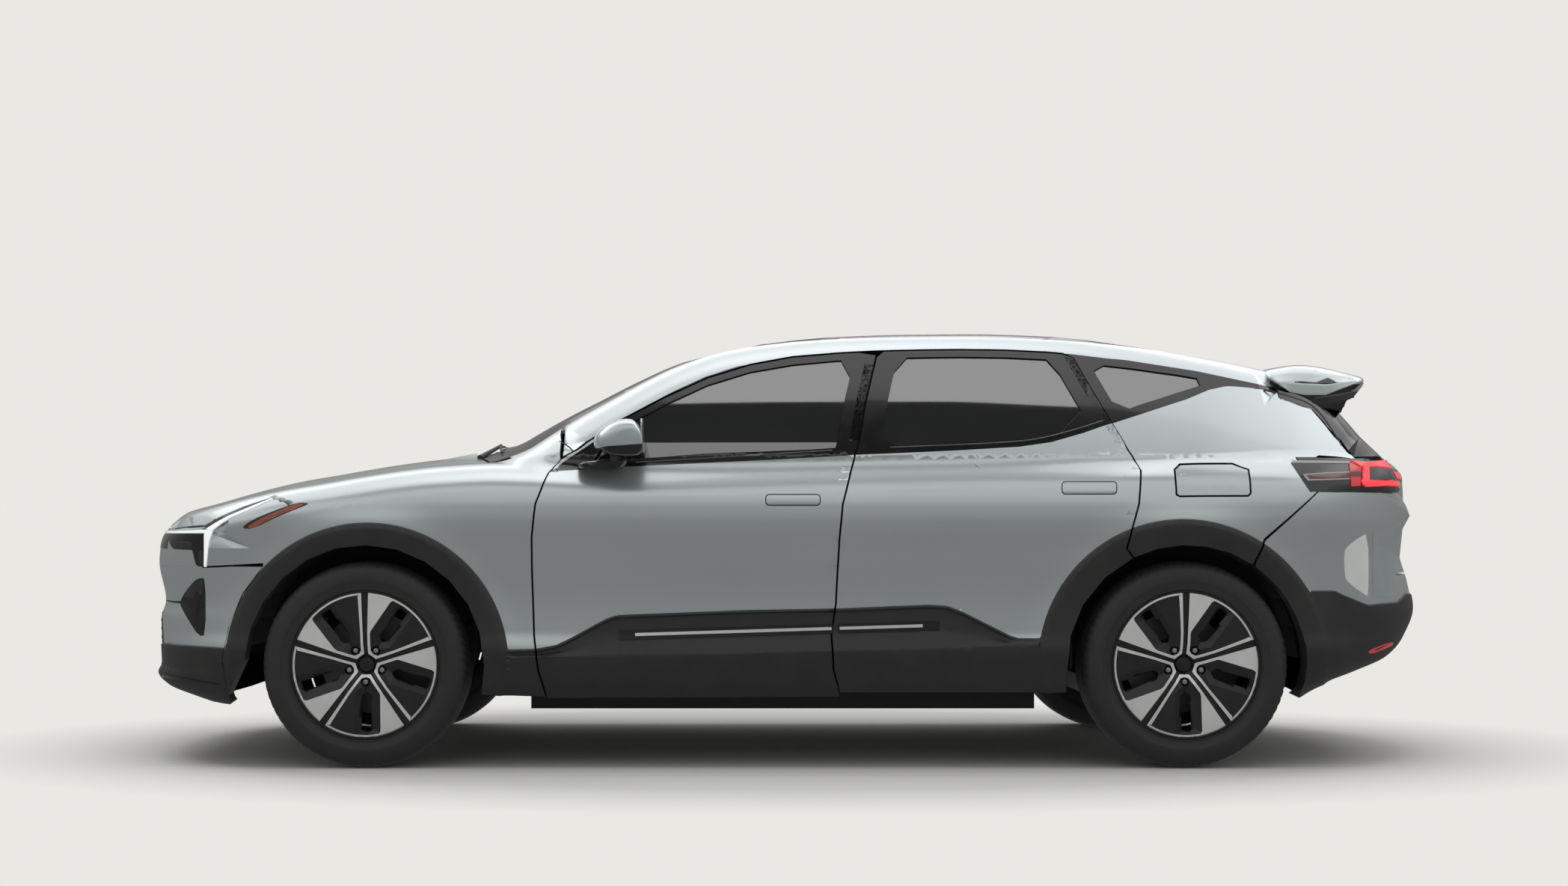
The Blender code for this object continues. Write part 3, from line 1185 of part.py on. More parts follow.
def soft_block(name, points, low_y, high_y, bevel=0.02):
    """A cushion with the side outline given and rounded edges."""
    block = prism(name, [points], "Y", low_y, high_y)
    modifier = block.modifiers.new("round", "BEVEL")
    modifier.width = bevel
    modifier.segments = 1
    modifier.angle_limit = math.radians(40)
    return to_mesh(block)


def build_seat(name, x=-0.02, y=0.37, half_width=0.25):
    """A front seat: cushion, backrest, head restraint and its base on the floor."""
    z = FLOOR_Z + FIT_GAP
    cushion = [(x - 0.28, 0.52), (x - 0.30, 0.60), (x - 0.22, 0.66), (x + 0.18, 0.63), (x + 0.24, 0.55),
               (x + 0.20, 0.50)]
    back = [(x + 0.12, 0.58), (x + 0.22, 0.52), (x + 0.33, 0.58), (x + 0.48, 1.08), (x + 0.50, 1.17),
            (x + 0.42, 1.19), (x + 0.36, 1.12)]
    head = [(x + 0.40, 1.20), (x + 0.49, 1.19), (x + 0.54, 1.34), (x + 0.48, 1.37), (x + 0.43, 1.33)]
    seat = soft_block(name, cushion, y - half_width, y + half_width)
    join(seat, soft_block("back", back, y - half_width + 0.01, y + half_width - 0.01))
    join(seat, soft_block("head", head, y - 0.13, y + 0.13, 0.015))
    join(seat, rod("post", (x + 0.44, y, 1.12), (x + 0.475, y, 1.27), 0.02, 10))
    return join(seat, box("base", (x - 0.20, y - 0.19, z), (x + 0.16, y + 0.19, 0.55)))


def build_rear_bench(name):
    z = FLOOR_Z + FIT_GAP
    x = 0.84
    cushion = [(x - 0.28, 0.54), (x - 0.30, 0.62), (x - 0.22, 0.69), (x + 0.16, 0.68), (x + 0.16, 0.655),
               (x - 0.01, 0.655), (x - 0.01, 0.54)]
    back = [(x + 0.10, 0.665), (x + 0.25, 0.665), (x + 0.44, 1.10), (x + 0.44, 1.20), (x + 0.36, 1.21),
            (x + 0.31, 1.12)]
    bench = soft_block(name, cushion, -0.60, 0.60)
    join(bench, soft_block("back", back, -0.595, 0.595))
    for y in (-0.38, 0.0, 0.38):
        head = [(x + 0.35, 1.18), (x + 0.44, 1.18), (x + 0.46, 1.31), (x + 0.42, 1.33), (x + 0.37, 1.30)]
        join(bench, soft_block("head", head, y - 0.11, y + 0.11, 0.012))
    return join(bench, box("base", (x - 0.20, -0.56, z), (x - 0.0, 0.56, 0.58)))


def build_dashboard(name):
    outline = [(-0.985, 0.62), (-0.985, 1.055), (-0.80, 1.075), (-0.66, 1.04), (-0.60, 0.96), (-0.63, 0.86),
               (-0.72, 0.78), (-0.76, 0.62)]
    dash = soft_block(name, outline, -0.715, 0.715, 0.02)
    console = [(-0.80, FLOOR_Z + FIT_GAP), (-0.80, 0.76), (-0.62, 0.74), (-0.40, 0.62), (0.20, 0.60),
               (0.22, FLOOR_Z + FIT_GAP)]
    join(dash, prism("console", [console], "Y", -0.10, 0.10))
    axis = Vector((math.cos(STEER_LEAN), 0, -math.sin(STEER_LEAN)))
    top = STEER_CENTRE - axis * (0.04 + 2 * FIT_GAP)
    return join(dash, rod("column", STEER_CENTRE - axis * 0.26, top, 0.028, 12))


STEER_CENTRE = Vector((-0.53, -0.37, 0.93))
STEER_LEAN = math.radians(-25)


def build_steering_wheel(name):
    """Rim, spokes and hub, turned about an axis that leans towards the driver."""
    wheel = turned(name, [(0.165, -0.013), (0.165, 0.013), (0.185, 0.013), (0.185, -0.013)], 20)
    join(wheel, turned("hub", [(0.0, 0.02), (0.055, 0.018), (0.055, -0.035), (0.0, -0.04)], 12))
    join(wheel, box("spokes", (-0.172, -0.009, -0.022), (0.172, 0.009, 0.022)))
    join(wheel, box("lower_spoke", (-0.022, -0.009, -0.172), (0.022, 0.009, 0.0)))
    turn = Matrix.Rotation(math.radians(-90), 4, "Z")
    lean = Matrix.Rotation(STEER_LEAN, 4, "Y")
    wheel.data.transform(Matrix.Translation(STEER_CENTRE) @ lean @ turn)
    return wheel


MIRROR_STATIONS = ((-0.742, 0.5), (-0.725, 0.88), (-0.68, 1.0), (-0.62, 1.0), (-0.565, 0.95), (-0.556, 0.90))


def build_mirror(name):
    """Housing on a foot that stands on the door."""
    rings = []
    for x, scale in MIRROR_STATIONS:
        ring = []
        for a in np.linspace(0, 2 * math.pi, 12, endpoint=False):
            w = math.copysign(abs(math.cos(a)) ** 0.7, math.cos(a)) * 0.094 * scale
            h = math.copysign(abs(math.sin(a)) ** 0.7, math.sin(a)) * 0.068 * scale
            ring.append((x, 0.968 + w, 1.212 + h))
        rings.append(ring)
    mirror = loft(name, rings)
    foot = [(-0.79, 1.098), (-0.60, 1.098), (-0.61, 1.115), (-0.62, 1.16), (-0.70, 1.16), (-0.74, 1.118)]
    join(mirror, prism("foot", [foot], "Y", 0.80, 0.935))
    skin_cut = panel("skin", spread(-0.90, -0.40, 0.1), SIDE_LEVELS[6:-3], -FIT_GAP, 0.15)
    return cut(mirror, skin_cut)


def main():
    start_scene()
    for side, sign in SIDES:
        for place, axle_x in (("front", FRONT_AXLE_X), ("rear", REAR_AXLE_X)):
            for piece, build, material in (("tyre", build_tyre, "rubber"), ("rim", build_rim, "alloy")):
                obj = build(f"{piece}_{place}_{side}", axle_x)
                if sign < 0:
                    obj = mirror_from(obj)
                finish(obj, f"{piece}_{place}_{side}", material)
    both_sides(lambda n: build_knuckle(n, FRONT_AXLE_X), "knuckle", "steel")
    finish(build_front_axle("front_axle"), "front_axle", "steel")
    finish(build_rear_axle("rear_axle"), "rear_axle", "steel")
    finish(build_underbody("underbody"), "underbody", "underbody")
    finish(build_front_structure("front_structure"), "front_structure", "underbody")
    finish(build_front_module("front_module"), "front_module", "cladding")
    finish(mirror_from(build_body_side("body_side_left", True)), "body_side_left", "paint")
    finish(build_body_side("body_side_right"), "body_side_right", "paint")
    both_sides(build_fender, "fender", "paint")
    both_sides(build_front_door, "front_door", "paint")
    both_sides(build_rear_door, "rear_door", "paint")
    both_sides(glass_builder(window_outline_front, -0.90, 0.30), "front_door_glass", "dark_glass")
    both_sides(glass_builder(window_outline_rear, 0.20, 1.20), "rear_door_glass", "dark_glass")
    both_sides(glass_builder(window_outline_quarter, 1.00, 1.70), "quarter_glass", "dark_glass")
    both_sides(build_headlamp, "headlamp", "lamp_clear")
    both_sides(build_tail_lamp, "tail_lamp", "lamp_red")
    both_sides(build_mirror, "mirror", "paint")
    finish(build_bonnet("bonnet"), "bonnet", "paint")
    finish(build_cowl("cowl"), "cowl", "cladding")
    windscreen = glass_strip("windscreen", COWL_REAR_X, SCREEN_TOP_X, np.linspace(-1.30, -0.20, 6), FIT_GAP)
    finish(windscreen, "windscreen", "dark_glass")
    roof = glass_strip("roof", SCREEN_TOP_X, ROOF_REAR_X, np.linspace(-0.45, 1.95, 8), FIT_GAP, SHUT_GAP, True)
    finish(roof, "roof", "dark_glass")
    finish(build_front_bumper("front_bumper"), "front_bumper", "paint")
    finish(build_rear_bumper("rear_bumper"), "rear_bumper", "paint")
    finish(build_tailgate("tailgate"), "tailgate", "paint")
    finish(build_tailgate_glass("tailgate_glass"), "tailgate_glass", "dark_glass")
    finish(mirror_from(build_charge_lid("charge_lid")), "charge_lid", "paint")
    finish(build_dashboard("dashboard"), "dashboard", "fabric")
    finish(build_seat("front_seat_right"), "front_seat_right", "fabric")
    finish(mirror_from(build_seat("front_seat_left")), "front_seat_left", "fabric")
    finish(build_rear_bench("rear_bench"), "rear_bench", "fabric")
    finish(build_steering_wheel("steering_wheel"), "steering_wheel", "cladding")
    place_origins()
    hide_cutters()


def place_origins():
    """Moving pieces turn about their origins."""
    for side, sign in SIDES:
        for place, axle_x in (("front", FRONT_AXLE_X), ("rear", REAR_AXLE_X)):
            for piece in ("tyre", "rim"):
                set_origin(f"{piece}_{place}_{side}", (axle_x, sign * HALF_TRACK, TYRE_RADIUS))
        set_origin(f"knuckle_{side}", (FRONT_AXLE_X, sign * HALF_TRACK, TYRE_RADIUS))
        for piece in ("front_door", "front_door_glass", "mirror"):
            set_origin(f"{piece}_{side}", (FRONT_DOOR_HINGE_X, sign * DOOR_HINGE_Y, STRIKER_HEIGHT))
        for piece in ("rear_door", "rear_door_glass"):
            set_origin(f"{piece}_{side}", (REAR_DOOR_HINGE_X, sign * DOOR_HINGE_Y, STRIKER_HEIGHT))
    set_origin("bonnet", (BONNET_HINGE[0], 0, BONNET_HINGE[1]))
    for piece in ("tailgate", "tailgate_glass"):
        set_origin(piece, (TAILGATE_HINGE[0], 0, TAILGATE_HINGE[1]))
    set_origin("charge_lid", LID_HINGE)
    set_origin("steering_wheel", STEER_CENTRE)


def set_origin(name, point):
    obj = parts.objects[name]
    obj.data.transform(Matrix.Translation(-Vector(point)))
    obj.location = point


def hide_cutters():
    for obj in tools.objects:
        obj.hide_render = True
        obj.display_type = "WIRE"


main()
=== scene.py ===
# %% [markdown]
# # An electric sport utility vehicle in a pale studio
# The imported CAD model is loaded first. It is the fixed frame that every visible piece is built around, and it
# says which body a piece moves with.

# %% The frame
import math

import bmesh
import bpy
import numpy as np
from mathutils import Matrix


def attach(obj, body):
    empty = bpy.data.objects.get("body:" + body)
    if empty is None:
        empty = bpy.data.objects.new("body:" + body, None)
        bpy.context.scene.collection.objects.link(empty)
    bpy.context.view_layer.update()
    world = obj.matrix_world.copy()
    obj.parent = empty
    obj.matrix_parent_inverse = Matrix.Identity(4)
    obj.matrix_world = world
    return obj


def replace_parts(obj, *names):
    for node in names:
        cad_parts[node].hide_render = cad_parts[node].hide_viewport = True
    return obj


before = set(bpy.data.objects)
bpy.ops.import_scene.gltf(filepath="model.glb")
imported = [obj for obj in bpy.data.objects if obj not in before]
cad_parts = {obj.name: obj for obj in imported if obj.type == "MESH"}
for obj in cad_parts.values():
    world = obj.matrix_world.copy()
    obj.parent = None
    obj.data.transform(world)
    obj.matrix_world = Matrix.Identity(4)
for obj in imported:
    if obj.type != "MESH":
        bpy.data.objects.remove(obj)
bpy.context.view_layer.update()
print("CAD nodes:", len(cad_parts))

# %% [markdown]
# ## Camera
# The photograph was taken square on to the car's left side through a long lens. A 50 mm lens on the usual
# 36 mm sensor, 8.9 m away and a little under the door handles' height, gives the same perspective. The car
# doesn't stand in the middle of the picture, so the lens is shifted instead of the camera being turned.

# %% Camera
IMAGE_WIDTH, IMAGE_HEIGHT = 2096, 1184
CAMERA_AT = (-0.2532, -8.86, 0.848)
FOCAL_PIXELS = 2911
CENTRE_PIXEL = (970, 715)

camera_data = bpy.data.cameras.new("camera")
camera_data.sensor_width = 36
camera_data.lens = camera_data.sensor_width * FOCAL_PIXELS / IMAGE_WIDTH
camera_data.shift_x = (IMAGE_WIDTH / 2 - CENTRE_PIXEL[0]) / IMAGE_WIDTH
camera_data.shift_y = (CENTRE_PIXEL[1] - IMAGE_HEIGHT / 2) / IMAGE_WIDTH
camera = bpy.data.objects.new("camera", camera_data)
camera.location = CAMERA_AT
camera.rotation_euler = (math.pi / 2, 0, 0)
bpy.context.scene.collection.objects.link(camera)
bpy.context.scene.camera = camera
bpy.context.scene.view_settings.view_transform = "Standard"

# %% [markdown]
# ## Shader sums in Python
# A material is a sum of masks and patterns. Written as nodes it is hard to read, so this small class wraps a
# socket, and an ordinary expression such as `0.1 + mask * 0.06` adds the Math nodes for it.

# %% The socket class


class Value:
    """A shader socket that can be added and multiplied."""

    def __init__(self, tree, socket):
        self.tree = tree
        self.socket = socket

    def math(self, operation, *others):
        return self.tree.node("ShaderNodeMath", {"operation": operation}, [self, *others])

    def __add__(self, other):
        return self.math("ADD", other)

    def __mul__(self, other):
        return self.math("MULTIPLY", other)

    __radd__ = __add__
    __rmul__ = __mul__

    def ramp(self, low, high, to_low=0.0, to_high=1.0):
        """A straight rise from to_low at low to to_high at high, held level outside."""
        return self.tree.node("ShaderNodeMapRange", {"clamp": True}, [self, low, high, to_low, to_high])


class Tree:
    """The nodes of one material or world."""

    def __init__(self, owner):
        owner.use_nodes = True
        self.nodes, self.links = owner.node_tree.nodes, owner.node_tree.links
        self.nodes.clear()

    def node(self, kind, settings=None, values=(), output=0):
        """One node: its settings first, then its sockets by order or by name."""
        node = self.nodes.new(kind)
        for key, value in (settings or {}).items():
            setattr(node, key, value)
        named = values.items() if isinstance(values, dict) else enumerate(values)
        for key, value in named:
            if isinstance(value, Value):
                self.links.new(value.socket, node.inputs[key])
            elif value is not None:
                node.inputs[key].default_value = value
        return Value(self, node.outputs[output])

    def mix(self, factor, low, high):
        """A colour between two colours."""
        node = self.nodes.new("ShaderNodeMix")
        node.data_type = "RGBA"
        for key, value in (("Factor_Float", factor), ("A_Color", low), ("B_Color", high)):
            socket = next(s for s in node.inputs if s.identifier == key)
            if isinstance(value, Value):
                self.links.new(value.socket, socket)
            else:
                socket.default_value = value if key == "Factor_Float" else (*value, 1)
        return Value(self, next(s for s in node.outputs if s.identifier == "Result_Color"))

    def place(self):
        """Object coordinates, in metres."""
        return self.node("ShaderNodeTexCoord", output="Object")

    def noise(self, size, detail=2.0):
        """Soft blotches about `size` metres across, from 0 to 1."""
        return self.node("ShaderNodeTexNoise", {}, {"Vector": self.place(), "Scale": 1 / size, "Detail": detail})

    def bump(self, height, depth):
        return self.node("ShaderNodeBump", {}, {"Height": height, "Distance": depth, "Strength": 1.0})

    def finish(self, shader, kind="ShaderNodeOutputMaterial"):
        self.links.new(shader.socket, self.nodes.new(kind).inputs["Surface"])


def finished(material, tree, **sockets):
    """The material with a Principled shader, whose sockets are named by words joined by underscores."""
    names = {key.replace("_", " ").title().replace("Ior", "IOR"): value for key, value in sockets.items()}
    tree.finish(tree.node("ShaderNodeBsdfPrincipled", {}, names))
    return material


def new_material(name):
    material = bpy.data.materials.new(name)
    return material, Tree(material)


# %% [markdown]
# ## Light
# A car is photographed by what it reflects. One wide softbox hangs over the roof, and the walls are bright above
# shoulder height and dim near the floor. That gives the bright shoulder, the darker lower doors and the split
# reflection in the side windows.

# %% World and softbox
BACKGROUND = (0.815, 0.807, 0.776)
SOFTBOX_SIZE = (9.0, 3.48)
SOFTBOX_HEIGHT = 3.5
SOFTBOX_RADIANCE = 1.25
AMBIENT = 0.40

world = bpy.data.worlds.new("studio")
bpy.context.scene.world = world
tree = Tree(world)
direction = tree.node("ShaderNodeTexCoord", output="Generated")
height = tree.node("ShaderNodeSeparateXYZ", {}, [direction], output=2)
WALL_STOPS = ((-1.0, 0.20), (0.02, 0.20), (0.30, 0.30), (0.44, 0.86), (0.80, 0.86), (0.86, 0.05), (0.95, 0.05),
              (1.0, 0.9))
walls = tree.nodes.new("ShaderNodeValToRGB")
walls.color_ramp.elements.remove(walls.color_ramp.elements[0])
for i, (at, level) in enumerate(WALL_STOPS):
    stop = walls.color_ramp.elements[0] if i == 0 else walls.color_ramp.elements.new((at + 1) / 2)
    stop.position = (at + 1) / 2
    stop.color = (level, level, level * 0.99, 1)
tree.links.new((height * 0.5 + 0.5).socket, walls.inputs["Fac"])
rays = tree.nodes.new("ShaderNodeLightPath")
seen = Value(tree, rays.outputs["Is Camera Ray"])
glossy = Value(tree, rays.outputs["Is Glossy Ray"])
colour = tree.mix(glossy, (AMBIENT,) * 3, Value(tree, walls.outputs["Color"]))
colour = tree.mix(seen, colour, BACKGROUND)
tree.finish(tree.node("ShaderNodeBackground", {}, [colour, 1.0]), "ShaderNodeOutputWorld")

softbox_data = bpy.data.lights.new("softbox", "AREA")
softbox_data.shape = "RECTANGLE"
softbox_data.size, softbox_data.size_y = SOFTBOX_SIZE
softbox_data.energy = SOFTBOX_RADIANCE * math.pi * SOFTBOX_SIZE[0] * SOFTBOX_SIZE[1]
softbox = bpy.data.objects.new("softbox", softbox_data)
softbox.location = (0, 0, SOFTBOX_HEIGHT)
softbox.visible_camera = False
bpy.context.scene.collection.objects.link(softbox)

# %% [markdown]
# The floor is a wide disc. Near the car it takes the shadow, and further out it shows the plain background
# colour, so there is no edge where it meets the wall.

# %% Floor
FLOOR_RADIUS, FLOOR_RINGS, FLOOR_SPOKES = 60.0, 40, 64
SHADOW_REACH = (1.9, 2.7)
SHADOW_ACROSS = (0.62, 1.4)
FLOOR_COLOUR, FLOOR_IN_GLOSS = (0.83, 0.823, 0.80, 1), (0.19, 0.19, 0.19, 1)


def disc(radius, rings, spokes):
    """A flat disc: point (i, j) lies at radius * (i / rings)^2 and at angle 2 pi j / spokes."""
    i, j = np.meshgrid(np.arange(rings + 1), np.arange(spokes), indexing="ij")
    r, a = radius * (i / rings) ** 2, 2 * np.pi * j / spokes
    return np.stack([r * np.cos(a), r * np.sin(a), 0 * r], -1)


def mesh_object(name, points, faces, material, weld=False):
    """An object from arrays of points and of faces. Welding joins the points that meet at a pole or a seam."""
    mesh = bpy.data.meshes.new(name)
    faces = faces.tolist() if isinstance(faces, np.ndarray) else faces
    mesh.from_pydata(np.asarray(points, float).reshape(-1, 3), [], faces)
    mesh.validate()
    if weld:
        bm = bmesh.new()
        bm.from_mesh(mesh)
        bmesh.ops.remove_doubles(bm, verts=bm.verts, dist=1e-6)
        bmesh.ops.dissolve_degenerate(bm, edges=bm.edges, dist=1e-7)
        bmesh.ops.recalc_face_normals(bm, faces=bm.faces)
        bm.to_mesh(mesh)
        bm.free()
    obj = bpy.data.objects.new(name, mesh)
    bpy.context.scene.collection.objects.link(obj)
    if material is not None:
        mesh.materials.append(material)
    return obj


def grid_faces(rows, columns, close_rows=False, close_columns=False):
    """The quads of a grid of points, joined end to end where it is closed."""
    i = np.arange(rows if close_rows else rows - 1)
    j = np.arange(columns if close_columns else columns - 1)
    i, j = np.meshgrid(i, j, indexing="ij")
    a, b = (i + 1) % rows, (j + 1) % columns
    return np.stack([i * columns + j, a * columns + j, a * columns + b, i * columns + b], -1).reshape(-1, 4)


material, tree = new_material("studio_floor")
place = tree.place()
x = tree.node("ShaderNodeSeparateXYZ", {}, [place], output=0)
y = tree.node("ShaderNodeSeparateXYZ", {}, [place], output=1)
stretched = (x * x * SHADOW_ACROSS[0] + y * y * SHADOW_ACROSS[1]).math("SQRT")
far = stretched.ramp(*SHADOW_REACH)
lit = tree.node("ShaderNodeBsdfDiffuse", {}, [FLOOR_COLOUR, 0.0])
plain = tree.node("ShaderNodeEmission", {}, [(*BACKGROUND, 1), 1.0])
dim = tree.node("ShaderNodeEmission", {}, [FLOOR_IN_GLOSS, 1.0])
glossy = Value(tree, tree.nodes.new("ShaderNodeLightPath").outputs["Is Glossy Ray"])
ground = tree.node("ShaderNodeMixShader", {}, [far, lit, plain])
tree.finish(tree.node("ShaderNodeMixShader", {}, [glossy, ground, dim]))
floor = mesh_object("floor", disc(FLOOR_RADIUS, FLOOR_RINGS, FLOOR_SPOKES),
                    grid_faces(FLOOR_RINGS + 1, FLOOR_SPOKES, close_columns=True), material)

# %% [markdown]
# ## Paints, plastics and glass
# Silver metallic paint is a metal flake layer under a clear coat: a rough metallic base with a sharp coat over
# it. The flakes are too small to see one by one, so they only break the base's brightness up a little.

# %% Body paint


def make_paint():
    material, tree = new_material("silver_paint")
    flakes = tree.noise(0.0012, 1.0)
    drift = tree.noise(0.6, 2.0)
    low, high = (0.500, 0.545, 0.555), (0.580, 0.622, 0.632)
    colour = tree.mix(flakes * 0.35 + drift * 0.65, low, high)
    return finished(material, tree, base_color=colour, metallic=0.72, roughness=0.30 + flakes * 0.05,
                    coat_weight=0.9, coat_roughness=0.06)


def make_gloss_black():
    material, tree = new_material("gloss_black_trim")
    wear = tree.noise(0.05, 3.0)
    return finished(material, tree, base_color=tree.mix(wear, (0.006, 0.006, 0.007), (0.012, 0.012, 0.013)),
                    roughness=0.10 + wear * 0.06, coat_weight=0.5, coat_roughness=0.03)


def make_cladding():
    """Grained black plastic: fine bumps under a dull sheen."""
    material, tree = new_material("grained_cladding")
    grain = tree.node("ShaderNodeTexVoronoi", {}, {"Vector": tree.place(), "Scale": 900.0})
    wear = tree.noise(0.12, 3.0)
    colour = tree.mix(wear, (0.018, 0.018, 0.018), (0.030, 0.030, 0.030))
    return finished(material, tree, base_color=colour, roughness=0.42 + wear * 0.14,
                    normal=tree.bump(grain, 0.00012))


def make_glass(name, tint, alpha):
    """Privacy glass: mirror-like outside, nearly black inside."""
    material, tree = new_material(name)
    smear = tree.noise(0.25, 2.0)
    return finished(material, tree, base_color=tree.mix(smear, tint, tuple(1.15 * c for c in tint)),
                    roughness=0.015 + smear * 0.02, ior=2.9, alpha=alpha + smear * 0.02)


def make_satin(name, dark, light, roughness, metallic=0.0, grain=0.0008, depth=0.00002):
    """A plain painted or moulded surface: slightly uneven in colour and gloss, with a very fine grain."""
    material, tree = new_material(name)
    patch = tree.noise(0.06, 3.0)
    return finished(material, tree, base_color=tree.mix(patch, dark, light), metallic=metallic,
                    roughness=roughness - 0.04 + patch * 0.08, normal=tree.bump(tree.noise(grain, 1.0), depth))


PAINT = make_paint()
GLOSS_BLACK = make_gloss_black()
CLADDING = make_cladding()
SIDE_GLASS = make_glass("tinted_side_glass", (0.010, 0.011, 0.012), 0.90)
TOP_GLASS = make_glass("tinted_top_glass", (0.006, 0.006, 0.007), 0.97)
DOOR_TRIM = make_satin("moulded_door_trim", (0.030, 0.030, 0.032), (0.046, 0.046, 0.048), 0.55, 0.0, 0.0012, 0.00015)

# %% [markdown]
# ## The skin of the car
# All outer panels are pieces of one surface. It is the zero level of a distance built from a few character
# lines, the same ones as in the CAD model. Here it is used to smooth the CAD panels: their outer faces are
# divided finely and every point is moved on to the true surface.

# %% Character lines


def line(*knots):
    """A smooth curve through (position, value) knots: cubic pieces whose slopes are harmonic means."""
    at = np.array([k[0] for k in knots], float)
    value = np.array([k[1] for k in knots], float)
    step = np.diff(at)
    slope = np.diff(value) / step
    tangent = np.zeros(len(at))
    tangent[0], tangent[-1] = slope[0], slope[-1]
    for i in range(1, len(at) - 1):
        if slope[i - 1] * slope[i] > 0:
            near, far = 2 * step[i] + step[i - 1], step[i] + 2 * step[i - 1]
            tangent[i] = (near + far) / (near / slope[i - 1] + far / slope[i])

    def curve(x):
        x = np.asarray(x, float)
        i = np.clip(np.searchsorted(at, x) - 1, 0, len(step) - 1)
        t = np.clip((x - at[i]) / step[i], 0, 1)
        inside = ((1 + 2 * t) * (1 - t) ** 2 * value[i] + t * (1 - t) ** 2 * step[i] * tangent[i]
                  + t * t * (3 - 2 * t) * value[i + 1] + t * t * (t - 1) * step[i] * tangent[i + 1])
        before = np.minimum(x - at[0], 0) * tangent[0]
        after = np.maximum(x - at[-1], 0) * tangent[-1]
        return inside + before + after

    return curve


def ramp(x, low, high):
    """A smooth rise from 0 at low to 1 at high."""
    t = np.clip((np.asarray(x, float) - low) / (high - low), 0, 1)
    return t * t * (3 - 2 * t)


def round_max(a, b, radius):
    """The larger of two distances, with a rounded corner."""
    u, v = np.maximum(a + radius, 0), np.maximum(b + radius, 0)
    return np.minimum(np.maximum(a, b), -radius) + np.hypot(u, v)


def round_min(a, b, radius):
    """The smaller of two distances, with a rounded inner corner."""
    return -round_max(-a, -b, radius)


FRONT_AXLE_X, REAR_AXLE_X = -1.565, 1.42
TYRE_RADIUS = 0.376
ARCH_RADIUS = 0.437

plan_half_width = line((-2.45, 0.925), (-1.9, 0.940), (-1.565, 0.956), (-1.0, 0.957), (-0.3, 0.955),
                       (0.5, 0.957), (1.0, 0.961), (1.42, 0.966), (1.75, 0.955), (2.1, 0.925), (2.45, 0.90))
side_tuck = line((0.20, 0.055), (0.25, 0.030), (0.31, 0.010), (0.42, 0.000), (0.50, 0.014), (0.62, 0.020),
                 (0.78, 0.010), (0.90, 0.000), (0.95, 0.004), (1.02, 0.019), (1.10, 0.050), (1.14, 0.082),
                 (1.20, 0.17), (1.30, 0.40))
nose_x = line((0.20, -2.12), (0.25, -2.30), (0.29, -2.41), (0.33, -2.447), (0.36, -2.432), (0.54, -2.440),
              (0.60, -2.424), (0.745, -2.450), (0.84, -2.436), (0.92, -2.39), (1.2, -2.2))
tail_x = line((0.25, 1.95), (0.30, 2.06), (0.34, 2.20), (0.39, 2.335), (0.46, 2.405), (0.57, 2.450),
              (0.67, 2.430), (0.79, 2.395), (0.90, 2.414), (1.06, 2.412), (1.16, 2.39), (1.3, 2.3))
hood_height = line((-2.46, 0.885), (-2.40, 0.925), (-2.33, 0.953), (-2.19, 0.992), (-2.04, 1.035), (-1.90, 1.068),
                   (-1.75, 1.094), (-1.60, 1.120), (-1.45, 1.142), (-1.30, 1.158), (-1.10, 1.168), (-0.6, 1.15),
                   (0.4, 1.17), (1.3, 1.19), (2.0, 1.18), (2.4, 1.15))
roof_height = line((-1.26, 1.08), (-1.20, 1.128), (-1.04, 1.228), (-0.90, 1.308), (-0.75, 1.384), (-0.60, 1.459),
                   (-0.46, 1.520), (-0.31, 1.567), (-0.16, 1.594), (0.13, 1.623), (0.42, 1.633), (0.71, 1.635),
                   (1.00, 1.626), (1.30, 1.597), (1.59, 1.549), (1.81, 1.507), (1.97, 1.465), (2.07, 1.405),
                   (2.16, 1.319), (2.30, 1.153), (2.40, 1.03))
cabin_half_width = line((-1.25, 0.74), (-0.9, 0.845), (-0.6, 0.872), (0.0, 0.882), (0.6, 0.884), (1.1, 0.872),
                        (1.5, 0.845), (1.85, 0.795), (2.1, 0.735), (2.4, 0.65))

HOOD_CROWN = 0.085
ROOF_CROWN = 0.070
GLASS_BOW = 0.12
ROOF_MIDDLE_X = 0.45
CABIN_LEAN = 0.60
CABIN_FOOT_Z = 1.14
CABIN_FLOOR_Z = 0.90
CABIN_FLOOR_RISE, CABIN_FLOOR_RAMP = 0.13, (2.05, 2.25)
CABIN_SQUEEZE = 0.86
WAIST_BLEND, TAIL_BLEND, NOSE_BLEND = 0.012, 0.11, 0.05
TAIL_BLEND_IN, TAIL_BLEND_OUT, NOSE_BLEND_IN = (0.9, 1.5), (2.15, 2.38), (0.6, 1.0)
NOSE_START_X, NOSE_SQUARENESS = -1.85, 3.3
TAIL_START_X, TAIL_SQUARENESS = 1.75, 2.5
SHOULDER_ROUNDING = 0.085
WAIST_SHADING = 0.05
CANT_ROUNDING = 0.06
FLARE_SWELL = 0.016
FLARE_SPREAD = 0.085
FLARE_OUT, FLARE_RISE = 0.03, (0.3, 0.45)
WALL_LEAST = 0.4


def flare_swell(x, z):
    """How far the skin swells out round both wheel arches."""
    swell = 0
    for axle_x in (FRONT_AXLE_X, REAR_AXLE_X):
        r = np.hypot(x - axle_x, z - TYRE_RADIUS)
        swell = swell + FLARE_SWELL * np.exp(-(((r - ARCH_RADIUS - FLARE_OUT) / FLARE_SPREAD) ** 2))
    return swell * ramp(z, *FLARE_RISE)


